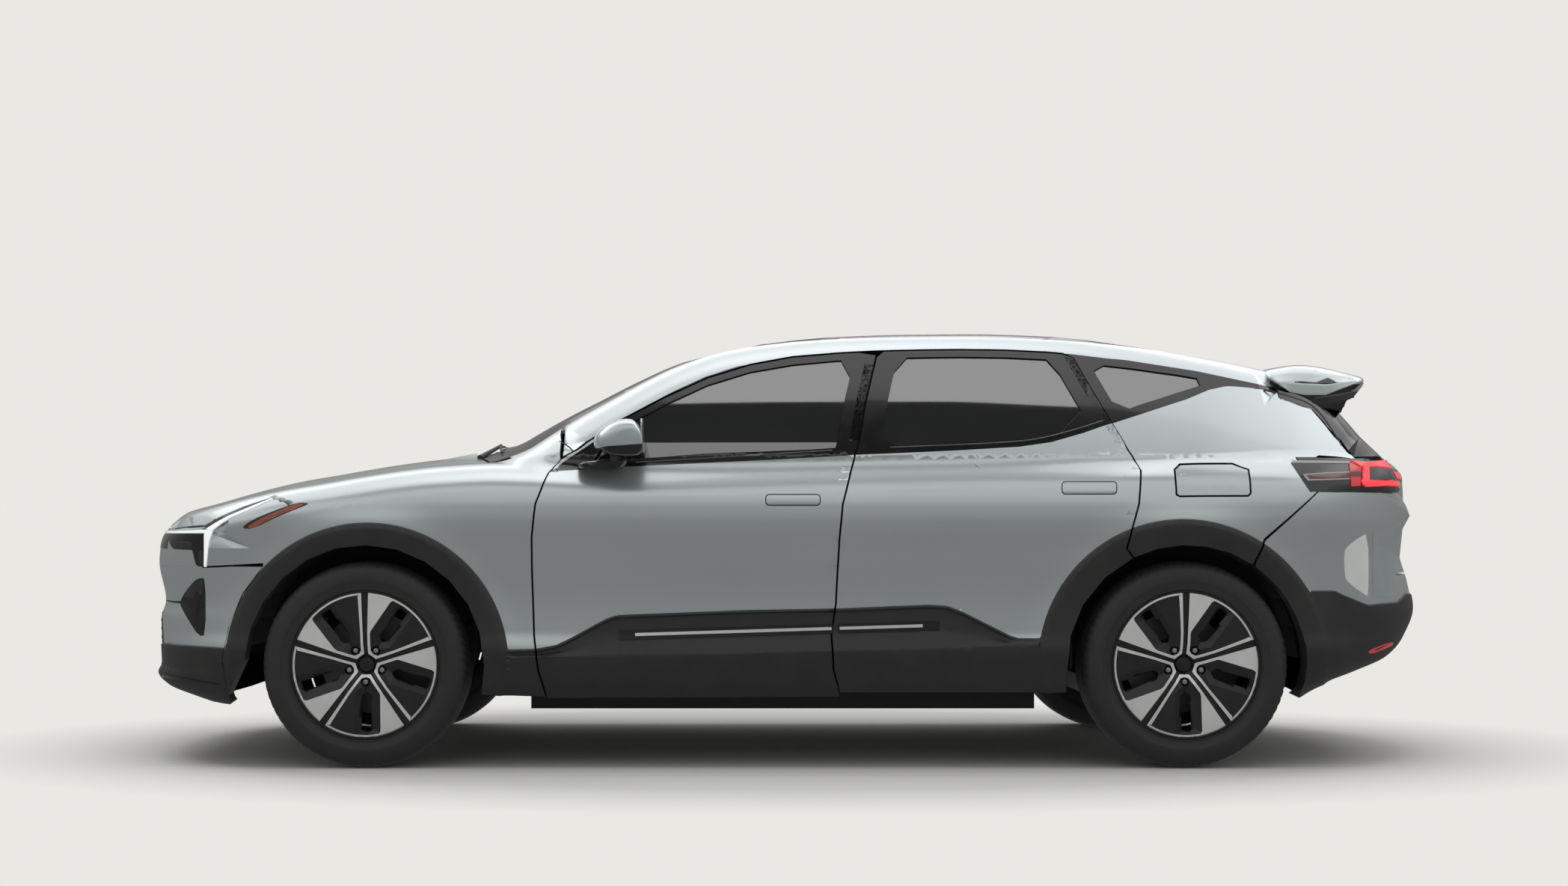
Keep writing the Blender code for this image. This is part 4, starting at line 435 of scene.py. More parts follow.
def lower_body(x, y, z):
    """Distance to the body below the windows: side walls with rounded ends in plan, topped by the bonnet."""
    wall = np.maximum(plan_half_width(x) - side_tuck(z) + flare_swell(x, z), WALL_LEAST)
    nose = np.clip((NOSE_START_X - x) / (NOSE_START_X - nose_x(z)), 0, None)
    tail = np.clip((x - TAIL_START_X) / (tail_x(z) - TAIL_START_X), 0, None)
    n = np.where(x < 0, NOSE_SQUARENESS, TAIL_SQUARENESS)
    reach = ((nose + tail) ** n + np.abs(y / wall) ** n) ** (1 / n)
    top = z - hood_height(x) + HOOD_CROWN * y * y
    return round_max((reach - 1) * wall, top, SHOULDER_ROUNDING)


def cabin(x, y, z):
    """Distance to the cabin above the waist: sides that lean in, under the screen, roof and rear window line."""
    side = np.abs(y) - cabin_half_width(x) + CABIN_LEAN * np.maximum(z - CABIN_FOOT_Z, 0)
    return over_sides(x, y, z, side)


def pane_skin(x, y, z):
    """The cabin without the upright foot of its sides, for the panes, which stay straight down to the belt."""
    return over_sides(x, y, z, np.abs(y) - cabin_half_width(x) + CABIN_LEAN * (z - CABIN_FOOT_Z))


def over_sides(x, y, z, side):
    """The cabin's sides closed by the screen, roof and rear window line."""
    bowed = ROOF_MIDDLE_X + (x - ROOF_MIDDLE_X) * (1 + GLASS_BOW * y * y)
    top = z - roof_height(bowed) + ROOF_CROWN * y * y
    floor = CABIN_FLOOR_Z + CABIN_FLOOR_RISE * ramp(x, *CABIN_FLOOR_RAMP)
    return np.maximum(round_max(side * CABIN_SQUEEZE, top * CABIN_SQUEEZE, CANT_ROUNDING), floor - z)


def skin(x, y, z):
    """Negative inside the car's outer skin, zero on it."""
    blend = WAIST_BLEND + TAIL_BLEND * ramp(x, *TAIL_BLEND_IN) * (1 - ramp(x, *TAIL_BLEND_OUT))
    return round_min(lower_body(x, y, z), cabin(x, y, z), blend + NOSE_BLEND * ramp(-x, *NOSE_BLEND_IN))


def soft_skin(x, y, z):
    """The skin with a wider waist, which only the shading uses."""
    return round_min(lower_body(x, y, z), cabin(x, y, z), WAIST_SHADING)


def gradient(p, step=2e-4, surface=skin):
    """The slope of the skin distance, from differences each way along x, y and z."""
    axes = np.eye(3) * step
    return np.stack([surface(*(p + a).T) - surface(*(p - a).T) for a in axes], -1) / (2 * step)


def unit(vectors, least=1e-6):
    """Vectors made one long."""
    return vectors / np.maximum(np.linalg.norm(vectors, axis=-1, keepdims=True), least)


def skin_distance(p):
    """Distance from the skin, in metres: the field divided by how steeply it rises."""
    return skin(*p.T) / np.maximum(np.linalg.norm(gradient(p), axis=1), 1e-6)


def on_skin(p, depth=0.0, surface=skin, most=0.016):
    """Moves points along the slope until they lie `depth` under the skin. At a fold of the skin a point can be
    thrown far off, so a point that would move further than `most` stays where it is."""
    q = p
    for _ in range(4):
        g = gradient(q, surface=surface)
        square = np.maximum((g ** 2).sum(-1), 1e-6)
        q = q - g * ((surface(*q.T) + depth * np.sqrt(square)) / square)[:, None]
    return np.where(np.linalg.norm(q - p, axis=-1)[:, None] < most, q, p)


# %% Dividing triangles


def cad_arrays(node):
    """A CAD node's points, merged, and its triangles."""
    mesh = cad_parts[node].data
    points = np.empty(len(mesh.vertices) * 3)
    mesh.vertices.foreach_get("co", points)
    mesh.calc_loop_triangles()
    corners = np.empty(len(mesh.loop_triangles) * 3, int)
    mesh.loop_triangles.foreach_get("vertices", corners)
    keys, index, back = np.unique(np.round(points.reshape(-1, 3), 5), axis=0, return_index=True,
                                  return_inverse=True)
    return keys, with_area(back.reshape(-1)[corners].reshape(-1, 3))


def with_area(triangles):
    """The triangles whose three points all differ."""
    return triangles[(triangles != np.roll(triangles, 1, axis=1)).all(1)]


def divide(triangles, middle):
    """Splits triangles at the new points on their edges; middle holds a point's index or -1 per edge."""
    parts = [triangles[(middle < 0).all(1)]]
    count = (middle >= 0).sum(1)
    for marked in (1, 2, 3):
        rows = count == marked
        t, m = triangles[rows], middle[rows]
        if marked == 1:
            first = np.argmax(m >= 0, axis=1)
        else:
            first = (np.argmin(m, axis=1) + 1) % 3
        turn = (first[:, None] + np.arange(3)) % 3
        (a, b, c), (p, q, r) = np.take_along_axis(t, turn, 1).T, np.take_along_axis(m, turn, 1).T
        if marked == 1:
            new = [(a, p, c), (p, b, c)]
        elif marked == 2:
            new = [(p, b, q), (a, p, q), (a, q, c)]
        else:
            new = [(a, p, r), (p, b, q), (r, q, c), (p, q, r)]
        parts += [np.stack(n, -1) for n in new]
    return np.concatenate(parts)


def edges_of(triangles):
    """The different edges, and for each triangle the numbers of its three edges."""
    ends = np.sort(triangles[:, [[0, 1], [1, 2], [2, 0]]], axis=2).reshape(-1, 2)
    edges, back = np.unique(ends, axis=0, return_inverse=True)
    return edges, back.reshape(-1, 3)


def refine(points, triangles, outer, longest, depth, surface=skin):
    """Halves the outer edges that are longer than `longest`, and puts each new point on the skin."""
    for _ in range(9):
        edges, per_triangle = edges_of(triangles)
        length = np.linalg.norm(points[edges[:, 0]] - points[edges[:, 1]], axis=1)
        long = (length > longest) & outer[edges].all(1)
        if not long.any():
            break
        index = np.full(len(edges), -1)
        index[long] = len(points) + np.arange(long.sum())
        points = np.concatenate([points, on_skin(points[edges[long]].mean(1), depth, surface)])
        outer = np.concatenate([outer, np.ones(long.sum(), bool)])
        triangles = divide(triangles, index[per_triangle])
    return points, triangles, outer


def slice_at(points, triangles, outer, field, depth=None):
    """Cuts the triangles along the zero line of a field of the points. With a depth, new outer points are put
    back on the skin."""
    value = field(points)
    value[np.abs(value) < 1e-5] = 1e-5
    edges, per_triangle = edges_of(triangles)
    low, high = value[edges[:, 0]], value[edges[:, 1]]
    crossed = (low * high) < 0
    t = (low / (low - high))[crossed][:, None]
    a, b = edges[crossed].T
    index = np.full(len(edges), -1)
    index[crossed] = len(points) + np.arange(crossed.sum())
    cut, cut_outer = points[a] + (points[b] - points[a]) * t, outer[a] & outer[b]
    if depth is not None and cut_outer.any():
        cut[cut_outer] = on_skin(cut[cut_outer], depth)
    return (np.concatenate([points, cut]), divide(triangles, index[per_triangle]),
            np.concatenate([outer, cut_outer]))


# %% [markdown]
# The lines where paint meets black plastic or trim were read from the photograph. They are drawn on an upright
# plane 0.9 m to the left of the car's middle, and a point of the car is looked up where the camera sees it on
# that plane. The right side uses the same lines.

# %% Lines in the side view
PLANE_DEPTH = 7.96
METRES_PER_PIXEL = PLANE_DEPTH / FOCAL_PIXELS


def plane_x(pixel):
    return CAMERA_AT[0] + (np.asarray(pixel, float) - CENTRE_PIXEL[0]) * METRES_PER_PIXEL


def plane_z(pixel):
    return CAMERA_AT[2] - (np.asarray(pixel, float) - CENTRE_PIXEL[1]) * METRES_PER_PIXEL


def side_view(p):
    """Where the camera would see a point on the plane, with the right side folded over to the left."""
    scale = PLANE_DEPTH / (-CAMERA_AT[1] - np.abs(p[:, 1]))
    return (CAMERA_AT[0] + (p[:, 0] - CAMERA_AT[0]) * scale,
            CAMERA_AT[2] + (p[:, 2] - CAMERA_AT[2]) * scale)


def traced(*pixels):
    """A height curve over x through points given as picture pixels."""
    x = plane_x([p[0] for p in pixels])
    z = plane_z([p[1] for p in pixels])
    return lambda at: np.interp(at, x, z)


cladding_top = traced((150, 858), (222, 859), (238, 861), (306, 866), (352, 868), (676.5, 868), (715, 867),
                      (743, 862), (762, 853), (800, 832), (812, 826), (824.5, 822), (845, 821), (1000, 815),
                      (1119, 813), (1241, 808), (1266, 809.5), (1285, 816.5), (1352, 850), (1362, 852.6),
                      (1400, 853), (1700, 800), (1754, 789), (1784, 789), (1794, 794), (1828, 808), (1867, 804),
                      (1877.5, 793), (1990, 790))
window_top = traced((700, 652), (736.5, 630.6), (755, 616), (794, 590), (836, 560), (864, 542), (901, 522.6),
                    (943, 503.5), (985, 490), (1027, 482), (1060, 478), (1096, 473.5), (1172.5, 470), (1236, 467),
                    (1293, 467), (1349, 469), (1430, 473), (1480, 479), (1504, 481), (1600, 496), (1717.5, 521))
belt_foot = traced((700, 632), (736.5, 630), (839, 623.6), (1040, 614), (1145, 608), (1278.5, 602), (1363, 597),
                   (1405, 591), (1447, 579), (1480, 567.5), (1490, 565), (1588, 533), (1616, 521), (1639, 516),
                   (1658.5, 517), (1689, 521), (1729, 530))
FRONT_ARCH, REAR_ARCH = 0.518, 0.531


def arch_distance(p):
    """Distance to the nearer wheel's middle in the side view, scaled so that both black rings are one width."""
    x, z = side_view(p)
    front = np.hypot(x - FRONT_AXLE_X, z - TYRE_RADIUS)
    rear = np.hypot(x - REAR_AXLE_X, z - TYRE_RADIUS) - (REAR_ARCH - FRONT_ARCH)
    return np.minimum(front, rear)


def cladding_field(p):
    """Negative where the lower body is black: under the sill line or inside an arch ring."""
    x, z = side_view(p)
    return np.minimum(arch_distance(p) - FRONT_ARCH, z - cladding_top(x))


def window_field(p):
    """Negative inside the dark band round the side windows."""
    x, z = side_view(p)
    return np.maximum(z - window_top(x), belt_foot(x) - z)


sill_crease = traced((600, 880), (652, 879), (855, 875), (1000, 873), (1110, 870), (1215, 868), (1426, 861),
                     (1500, 858))
sill_ledge = traced((600, 878), (731, 874), (827, 855), (1040, 848.5), (1256, 842), (1350, 857), (1500, 856))
CREST_RADIUS, CREST_FOOT = 0.497, 0.44
RIM_EDGES = (0.010, 0.013)
SILL_MIDDLE_X, SILL_HALF = -0.07, 1.12
CREST_LIFT, ARCH_FOOT_LIFT = 0.012, 0.004
RECESS_FADE, LEDGE_LEAST, SILL_FALL_END = (0.012, 0.03), 0.004, 0.2
RECESS_LIFT, CREASE_LIFT, SILL_FALL = -0.005, 0.014, 0.07


def cladding_lift(p):
    """How far the black plastic stands out: a crest round each arch, and on the sill a rim, a recess under it, a
    ledge that slopes out to the crease, and a wall that falls back below the crease."""
    x, z = side_view(p)
    r = arch_distance(p)
    ring = np.interp(r, (CREST_FOOT, CREST_RADIUS, FRONT_ARCH), (ARCH_FOOT_LIFT, CREST_LIFT, RAISED))
    top, ledge, crease = cladding_top(x), sill_ledge(x), sill_crease(x)
    tall = ramp(top - ledge, *RECESS_FADE)
    recess = np.interp(top - z, RIM_EDGES, (0, 1)) * tall
    out = np.clip((ledge - z) / np.maximum(ledge - crease, LEDGE_LEAST), 0, 1)
    sill = RAISED + (RECESS_LIFT - RAISED) * recess + (CREASE_LIFT - RECESS_LIFT) * out * recess
    sill = sill + (CREASE_LIFT - RAISED) * out * (1 - recess) - np.clip(crease - z, 0, SILL_FALL_END) * SILL_FALL
    return np.where(r < FRONT_ARCH, ring, np.where(np.abs(x - SILL_MIDDLE_X) < SILL_HALF, sill, RAISED))


def over(height, below=0.0):
    """A field that is zero on a line of the side view, or a little below it."""
    return lambda p: side_view(p)[1] - height(side_view(p)[0]) + below


CLADDING_CUTS = (lambda p: arch_distance(p) - CREST_RADIUS, over(sill_crease), over(sill_ledge),
                 *(over(cladding_top, edge) for edge in RIM_EDGES))

# %% Smooth panels
FINEST = 0.028
RAISED = 0.006
RAISED_RAMP = 0.005
TRIM_DEPTH = 0.045
WAIST_BANDS = (-0.03, 0.0, 0.03)
AGREE, WAIST_AGREE = 0.8, 0.6
GLASS_INSET = 0.006


def waist_field(p):
    """Zero on the crease where the lower body meets the cabin."""
    return lower_body(*p.T) - cabin(*p.T)


def trim_field(p):
    """Zero where the painted edge of a panel ends and its inner trim starts."""
    return skin_distance(p) + TRIM_DEPTH


def to_waist(p, near=0.011):
    """Points close to the crease are moved on to it, so that it runs without steps."""
    rows = np.abs(waist_field(p)) < near
    for _ in range(3):
        q = p[rows]
        slope = gradient(q, surface=lambda x, y, z: lower_body(x, y, z) - cabin(x, y, z))
        q = q - slope * (waist_field(q) / np.maximum((slope ** 2).sum(-1), 1e-6))[:, None]
        p = p.copy()
        p[rows] = on_skin(q)
    return p


def finish_faces(obj, materials, numbers):
    """Several materials on one object: each face takes the one of its number."""
    for material in materials:
        obj.data.materials.append(material)
    obj.data.polygons.foreach_set("material_index", numbers.astype(np.int32))


def dress(node, body, depth=0.0, reach=0.016, black=None, windows=None, base=None, waist=False,
          trim=False, surface=skin):
    """A CAD panel with its outer faces made smooth, and its black parts set off from the paint."""
    points, triangles = cad_arrays(node)
    outer = np.abs(skin_distance(points) + depth) < reach
    points[outer] = on_skin(points[outer], depth, surface)
    points, triangles, outer = refine(points, triangles, outer, FINEST, depth, surface)
    if waist:
        points[outer] = to_waist(points[outer])
    regions = [(field, finish) for field, finish in ((black, CLADDING), (windows, GLOSS_BLACK)) if field]
    cuts = [lambda p, level=level: waist_field(p) - level for level in WAIST_BANDS if waist]
    cuts += [field for field, finish in regions]
    if black:
        cuts += [lambda p: black(p) + RAISED_RAMP, *CLADDING_CUTS]
    for cut in cuts:
        points, triangles, outer = slice_at(points, triangles, outer, cut, depth)
    if trim:
        points, triangles, outer = slice_at(points, triangles, outer, trim_field)
        regions.append((trim_field, DOOR_TRIM))
    middle = points[triangles].mean(1)
    numbers = np.zeros(len(triangles), int)
    for number, (field, finish) in enumerate(regions, 1):
        numbers[field(middle) < 0] = number
    normals = unit(gradient(points, surface=soft_skin if waist else surface))
    if black:
        raise_by = cladding_lift(points) * ramp(-black(points), 0, RAISED_RAMP) * outer
        points = points + normals * raise_by[:, None]
    obj = mesh_object(f"{node}_panel", points, triangles, None)
    finish_faces(obj, [base or PAINT] + [finish for field, finish in regions], numbers)
    mesh = obj.data
    mesh.shade_smooth()
    mesh.set_sharp_from_angle(angle=math.radians(30))
    corner = np.empty(len(mesh.loops) * 3)
    mesh.corner_normals.foreach_get("vector", corner)
    corner = corner.reshape(-1, 3, 3)
    a, b, c = points[triangles].transpose(1, 0, 2)
    flat = unit(np.cross(b - a, c - a), 1e-12)
    agree = WAIST_AGREE if waist else AGREE
    on = outer[triangles].all(1) & ((flat * normals[triangles[:, 0]]).sum(1) > agree)
    if black:
        on &= (black(points) > -1e-4)[triangles].all(1)
    corner[on] = normals[triangles[on]]
    mesh.normals_split_custom_set(corner.reshape(-1, 3))
    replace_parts(obj, node)
    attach(obj, body)
    print(node, "->", len(triangles), "triangles")
    return obj


BLACK_FROM_Z = 1.126
for side in ("left", "right"):
    for door in ("front_door", "rear_door"):
        dress(f"{door}_{side}", f"{door}_{side}", black=cladding_field, windows=window_field, waist=True, trim=True)
    dress(f"fender_{side}", "body", black=cladding_field, waist=True)
    dress(f"body_side_{side}", "body", black=cladding_field, windows=window_field, waist=True, trim=True)
    for piece, body in (("front_door_glass", f"front_door_{side}"), ("rear_door_glass", f"rear_door_{side}"),
                        ("quarter_glass", "body")):
        dress(f"{piece}_{side}", body, depth=GLASS_INSET, reach=0.004, base=SIDE_GLASS,
              surface=pane_skin)
dress("charge_lid", "charge_lid", reach=0.005)
dress("bonnet", "bonnet")
dress("front_bumper", "body", black=cladding_field)
dress("rear_bumper", "body", black=cladding_field)
for side in ("left", "right"):
    dress(f"headlamp_{side}", "body")
    dress(f"tail_lamp_{side}", "body", base=GLOSS_BLACK)
dress("tailgate", "tailgate", windows=lambda p: BLACK_FROM_Z - p[:, 2], trim=True)
for piece in ("windscreen", "roof"):
    dress(piece, "body", reach=0.005, base=TOP_GLASS)
dress("tailgate_glass", "tailgate", depth=GLASS_INSET, reach=0.004, base=TOP_GLASS)

# %% [markdown]
# ## Wheels
# The wheel is a five-spoke casting with a machined front. Each slim spoke carries a dark groove between two
# bright lines, and the line on its clockwise side widens into a silver paddle. Between the spokes the casting
# falls away to a slot that shows the brake disc. The face is one sheet over a polar grid. The edges of the
# groove, the pocket and the slot are fields of the sheet's plane: the grid is cut along their zero lines, so
# that every edge is crisp, and then each region gets its own depth.

# %% Wheel finishes
HALF_TRACK = 0.836


def make_machined():
    """Bright turned metal: fine rings round the hub in the bump."""
    material, tree = new_material("machined_alloy")
    rings = tree.node("ShaderNodeTexNoise", {"noise_dimensions": "1D"},
                      {"W": tree.node("ShaderNodeVectorMath", {"operation": "LENGTH"}, [tree.place()], output=1),
                       "Scale": 700.0, "Detail": 1.0})
    smear = tree.noise(0.08, 2.0)
    colour = tree.mix(smear, (0.74, 0.74, 0.735), (0.86, 0.86, 0.85))
    return finished(material, tree, base_color=colour, metallic=0.35, roughness=0.26 + smear * 0.08,
                    normal=tree.bump(rings, 0.00002))


MACHINED = make_machined()
WHEEL_DARK = make_satin("wheel_dark_grey", (0.020, 0.020, 0.021), (0.034, 0.034, 0.035), 0.36, 0.3)
WHEEL_BLACK = make_satin("wheel_black", (0.006, 0.006, 0.006), (0.012, 0.012, 0.012), 0.45)
CAST_IRON = make_satin("brake_steel", (0.22, 0.22, 0.22), (0.34, 0.34, 0.34), 0.38, 0.7)
NUT_STEEL = make_satin("nut_steel", (0.40, 0.40, 0.40), (0.56, 0.56, 0.56), 0.28, 0.9)
RUBBER = make_satin("tyre_rubber", (0.020, 0.020, 0.020), (0.032, 0.032, 0.032), 0.62, 0.0, 0.0015, 0.00006)

# %% Wheel shape
SPOKES = 5
SPOKE_TURN = 2 * np.pi / SPOKES
GROOVE_HALF = ((0.0, 0.0072), (0.118, 0.0083), (0.27, 0.0131))
STRIP_FAR = ((0.0, 0.0173), (0.118, 0.0173), (0.262, 0.0260))
PADDLE_FOOT = (0.0180, 0.119)
PADDLE_TIP = (0.101, 0.238)
RING_RADII = (0.2545, 0.2640)
POCKET_NEAR = 0.049
MACHINED_NEAR = 0.036
SLOT_TURN = math.radians(35)
SLOT_HALF, SLOT_POINT = 0.0165, 0.9
SLOT_REACH = (0.100, 0.240)
LUG_CIRCLE, LUG_HOLE = 0.063, 0.0165
FACE_DISH = ((0.0, 0.0690), (0.030, 0.0720), (0.045, 0.0800), (0.075, 0.0960), (0.118, 0.1050), (0.19, 0.1100),
             (0.262, 0.1130), (0.28, 0.1135))
WALL = 0.0012


def wheel_plane(p):
    """Radius and clockwise angle from straight up, in the plane of the wheel's face."""
    return np.hypot(p[:, 0], p[:, 1]), np.arctan2(p[:, 0], p[:, 1])


def in_sector(p, turn=0.0):
    """Distance across and along a line that is turned on from a spoke, in each of the wheel's equal sectors."""
    r, a = wheel_plane(p)
    a = a % SPOKE_TURN - turn
    return r * np.sin(a), r * np.cos(a)


def groove_field(p):
    """Negative in the dark groove along the middle of each spoke."""
    r, a = wheel_plane(p)
    a = a - SPOKE_TURN * np.round(a / SPOKE_TURN)
    return np.abs(r * np.sin(a)) - np.interp(r * np.cos(a), *zip(*GROOVE_HALF))


def pocket_field(p):
    """Negative in the dark pocket between two spokes: inside five straight or round edges."""
    across, up = in_sector(p)
    run, rise = PADDLE_TIP[0] - PADDLE_FOOT[0], PADDLE_TIP[1] - PADDLE_FOOT[1]
    paddle = ((up - PADDLE_FOOT[1]) * run - (across - PADDLE_FOOT[0]) * rise) / math.hypot(run, rise)
    near = PADDLE_FOOT[0] - across
    next_across, next_along = in_sector(p, SPOKE_TURN)
    far = np.interp(next_along, *zip(*STRIP_FAR)) + next_across
    hub = POCKET_NEAR - in_sector(p, SPOKE_TURN / 2)[1]
    return np.maximum.reduce([paddle, near, far, hub, wheel_plane(p)[0] - RING_RADII[0]])


def slot_field(p):
    """Negative in the slot, which is square outside and pointed inside."""
    across, along = in_sector(p, SLOT_TURN)
    point = (SLOT_REACH[0] - along + np.abs(across) * SLOT_POINT) / math.hypot(1, SLOT_POINT)
    return np.maximum.reduce([np.abs(across) - SLOT_HALF, point, along - SLOT_REACH[1]])


def lug_field(p):
    """Negative in the round seat of each nut."""
    across, along = in_sector(p, SPOKE_TURN / 2)
    return np.hypot(across, along - LUG_CIRCLE) - LUG_HOLE


def machined_edge(p):
    """Negative nearer the hub than the machined lines go: a pentagon round the cap."""
    return in_sector(p, SPOKE_TURN / 2)[1] - MACHINED_NEAR


BLADE_REACH = 0.024
POCKET_STEP = 0.0028
POCKET_FALL = 0.0150
GROOVE_FALL, GROOVE_END = 0.0080, 0.262
HUB_FALL, CAP_SEAT = 0.010, 0.0275
LUG_FALL = 0.014
FACE_START, FACE_RINGS, FACE_RAYS, HUB_BLACK = 0.012, 30, 90, 0.030


def face_height(p):
    """The face's distance out from the wheel's middle: the dish, less the fall of each region."""
    r, _ = wheel_plane(p)
    inside, beside = np.maximum(-pocket_field(p), 0), np.maximum(slot_field(p), 0)
    slope = np.where(in_sector(p, SLOT_TURN)[0] < 0, inside / (inside + beside + 1e-6),
                     1 - np.clip(beside / BLADE_REACH, 0, 1))
    fall = (POCKET_STEP + POCKET_FALL * slope) * np.clip(inside / WALL, 0, 1)
    fall = np.maximum(fall, GROOVE_FALL * np.clip(-groove_field(p) / WALL, 0, 1) * (r < GROOVE_END))
    fall = np.maximum(fall, HUB_FALL * np.clip(-machined_edge(p) / WALL, 0, 1) * (r > CAP_SEAT))
    fall = fall + LUG_FALL * np.clip(-lug_field(p) / WALL, 0, 1)
    return np.interp(r, *zip(*FACE_DISH)) - fall


def wheel_face():
    """The face sheet: points (u, v, height), triangles, and a finish number for each triangle."""
    r = np.concatenate([[0.0], np.linspace(FACE_START, RING_RADII[1], FACE_RINGS)])
    a = np.linspace(0, 2 * np.pi, FACE_RAYS, endpoint=False)
    rr, aa = np.meshgrid(r, a, indexing="ij")
    p = np.stack([rr * np.sin(aa), rr * np.cos(aa), 0 * rr], -1).reshape(-1, 3)
    quads = grid_faces(len(r), len(a), close_columns=True)
    triangles = np.concatenate([quads[:, [0, 1, 2]], quads[:, [0, 2, 3]]])
    triangles[triangles < len(a)] = 0
    triangles = with_area(triangles)
    outer = np.ones(len(p), bool)
    cuts = [(field, inset) for field in (pocket_field, groove_field, machined_edge, lug_field)
            for inset in (0.0, WALL)]
    cuts += [(slot_field, 0.0), (slot_field, -BLADE_REACH), (lambda q: in_sector(q, SLOT_TURN)[0], 0.0)]
    for field, inset in cuts:
        p, triangles, outer = slice_at(p, triangles, outer, lambda q: field(q) + inset)
    middle = p[triangles].mean(1)
    radius = np.hypot(middle[:, 0], middle[:, 1])
    keep = slot_field(middle) > 0
    bright = ((pocket_field(middle) > 0) & (groove_field(middle) > 0) & (machined_edge(middle) > 0)
              & (radius < RING_RADII[1]))
    finish = np.where(bright, 0, 1)
    finish[(lug_field(middle) < 0) | (radius < HUB_BLACK)] = 2
    p[:, 2] = face_height(p)
    return p, triangles[keep][:, ::-1], finish[keep]


FACE_POINTS, FACE_TRIANGLES, FACE_FINISH = wheel_face()
print("wheel face:", len(FACE_TRIANGLES), "triangles")

# %% [markdown]
# The rest of a wheel is turned: a profile of radius and height swept once round the axle. The same function
# makes the barrel, the brake disc, the cap and the tyre. The nuts are hexagonal rings of their own.

# %% Turned pieces


def spin(profile, steps, wave=None):
    """Sweeps a closed profile of (radius, height) round the axis: point (i, j) has the profile's radius i, turned
    by 2 pi j / steps. A wave function may change the radius with the angle."""
    radius, height = np.array(profile, float).T
    a = 2 * np.pi * np.arange(steps) / steps
    rr, aa = np.meshgrid(radius, a, indexing="ij")
    hh = np.repeat(height[:, None], steps, axis=1)
    if wave is not None:
        rr = rr - wave(rr, hh, aa)
    points = np.stack([rr * np.sin(aa), rr * np.cos(aa), hh], -1).reshape(-1, 3)
    return points, grid_faces(len(radius), steps, close_rows=True, close_columns=True)[:, ::-1]


def place_wheel(points, side, axle_x):
    """From the wheel's own plane to the car. The right wheel is the left one turned round."""
    s = -1 if side == "left" else 1
    return np.stack([axle_x - s * points[:, 0], s * (HALF_TRACK + points[:, 2]), TYRE_RADIUS + points[:, 1]], -1)


BARREL = ((0.2705, 0.1165), (0.2640, 0.1165), (0.2620, 0.1130), (0.2570, 0.1000), (0.2430, 0.0850), (0.2430, -0.108),
          (0.2640, -0.1165), (0.2705, -0.1165), (0.2705, -0.1083), (0.2530, -0.1083), (0.2530, 0.1083),
          (0.2705, 0.1083))
DISC = ((0.189, -0.068), (0.189, -0.094), (0.095, -0.094), (0.095, -0.112), (0.060, -0.112), (0.060, 0.055),
        (0.080, 0.055), (0.080, -0.055), (0.095, -0.068))
CAP = ((0.0285, 0.060), (0.0285, 0.0715), (0.0250, 0.0745), (0.0120, 0.0760), (0.0, 0.0762), (0.0, 0.060))
NUT_HALF, NUT_TOP, NUT_STEPS = 0.0095, 0.089, 24
NUT_RINGS = ((1.0, -0.018), (1.0, -0.004), (0.82, -0.0008), (0.5, 0.0), (0.0, 0.0))


def nuts():
    """Five hexagonal nuts: a hexagon's radius at each angle, on rings that close to a point on top."""
    a = 2 * np.pi * np.arange(NUT_STEPS) / NUT_STEPS
    hexagon = NUT_HALF / np.cos((a % (np.pi / 3)) - np.pi / 6)
    scale, height = (np.array(v)[:, None] for v in zip(*NUT_RINGS))
    ring = np.stack([hexagon * scale * np.sin(a), hexagon * scale * np.cos(a), NUT_TOP + height + 0 * a], -1)
    turns = SPOKE_TURN * (np.arange(SPOKES) + 0.5)
    centres = LUG_CIRCLE * np.stack([np.sin(turns), np.cos(turns), 0 * turns], -1)
    points = ring.reshape(1, -1, 3) + centres[:, None, :]
    faces = grid_faces(len(NUT_RINGS), NUT_STEPS, close_columns=True)[:, ::-1]
    step = len(NUT_RINGS) * NUT_STEPS
    return points.reshape(-1, 3), np.concatenate([faces + step * k for k in range(SPOKES)])


SIDEWALL = ((0.3755, 0.040), (0.3745, 0.075), (0.3700, 0.098), (0.3620, 0.1120), (0.3500, 0.1205), (0.3380, 0.1250),
            (0.3200, 0.1274), (0.3120, 0.1274), (0.3050, 0.1262), (0.3030, 0.1240), (0.2950, 0.1215),
            (0.2860, 0.1165), (0.2790, 0.1150), (0.2760, 0.1172), (0.2730, 0.1165), (0.2712, 0.1110),
            (0.2540, 0.1075), (0.2535, 0.0))
TREAD_GROOVES = (0.018, 0.060)
GROOVE_WIDTH, GROOVE_DEPTH = 0.0045, 0.0065
SIPES = 72
SIPE_DEPTH, SIPE_SHARE, SIPE_SLANT = 0.0042, 0.26, 14
SIPE_EDGE, SIPE_FADE = (0.066, 0.070), (0.350, 0.362)


def tyre_profile():
    """The tread with its four grooves, then one side wall down to the bead, and the same mirrored."""
    top, foot = TYRE_RADIUS, TYRE_RADIUS - GROOVE_DEPTH
    tread = [(top, 0.0)]
    for g in TREAD_GROOVES:
        tread += [(top, g - GROOVE_WIDTH), (foot, g - GROOVE_WIDTH + 0.001), (foot, g + GROOVE_WIDTH - 0.001),
                  (top - 0.0004 * (g > 0.04), g + GROOVE_WIDTH)]
    half = tread + [q for q in SIDEWALL if q[1] > 0.065 or q[0] < 0.3]
    return half + [(r, -h) for r, h in reversed(half[1:-1])]


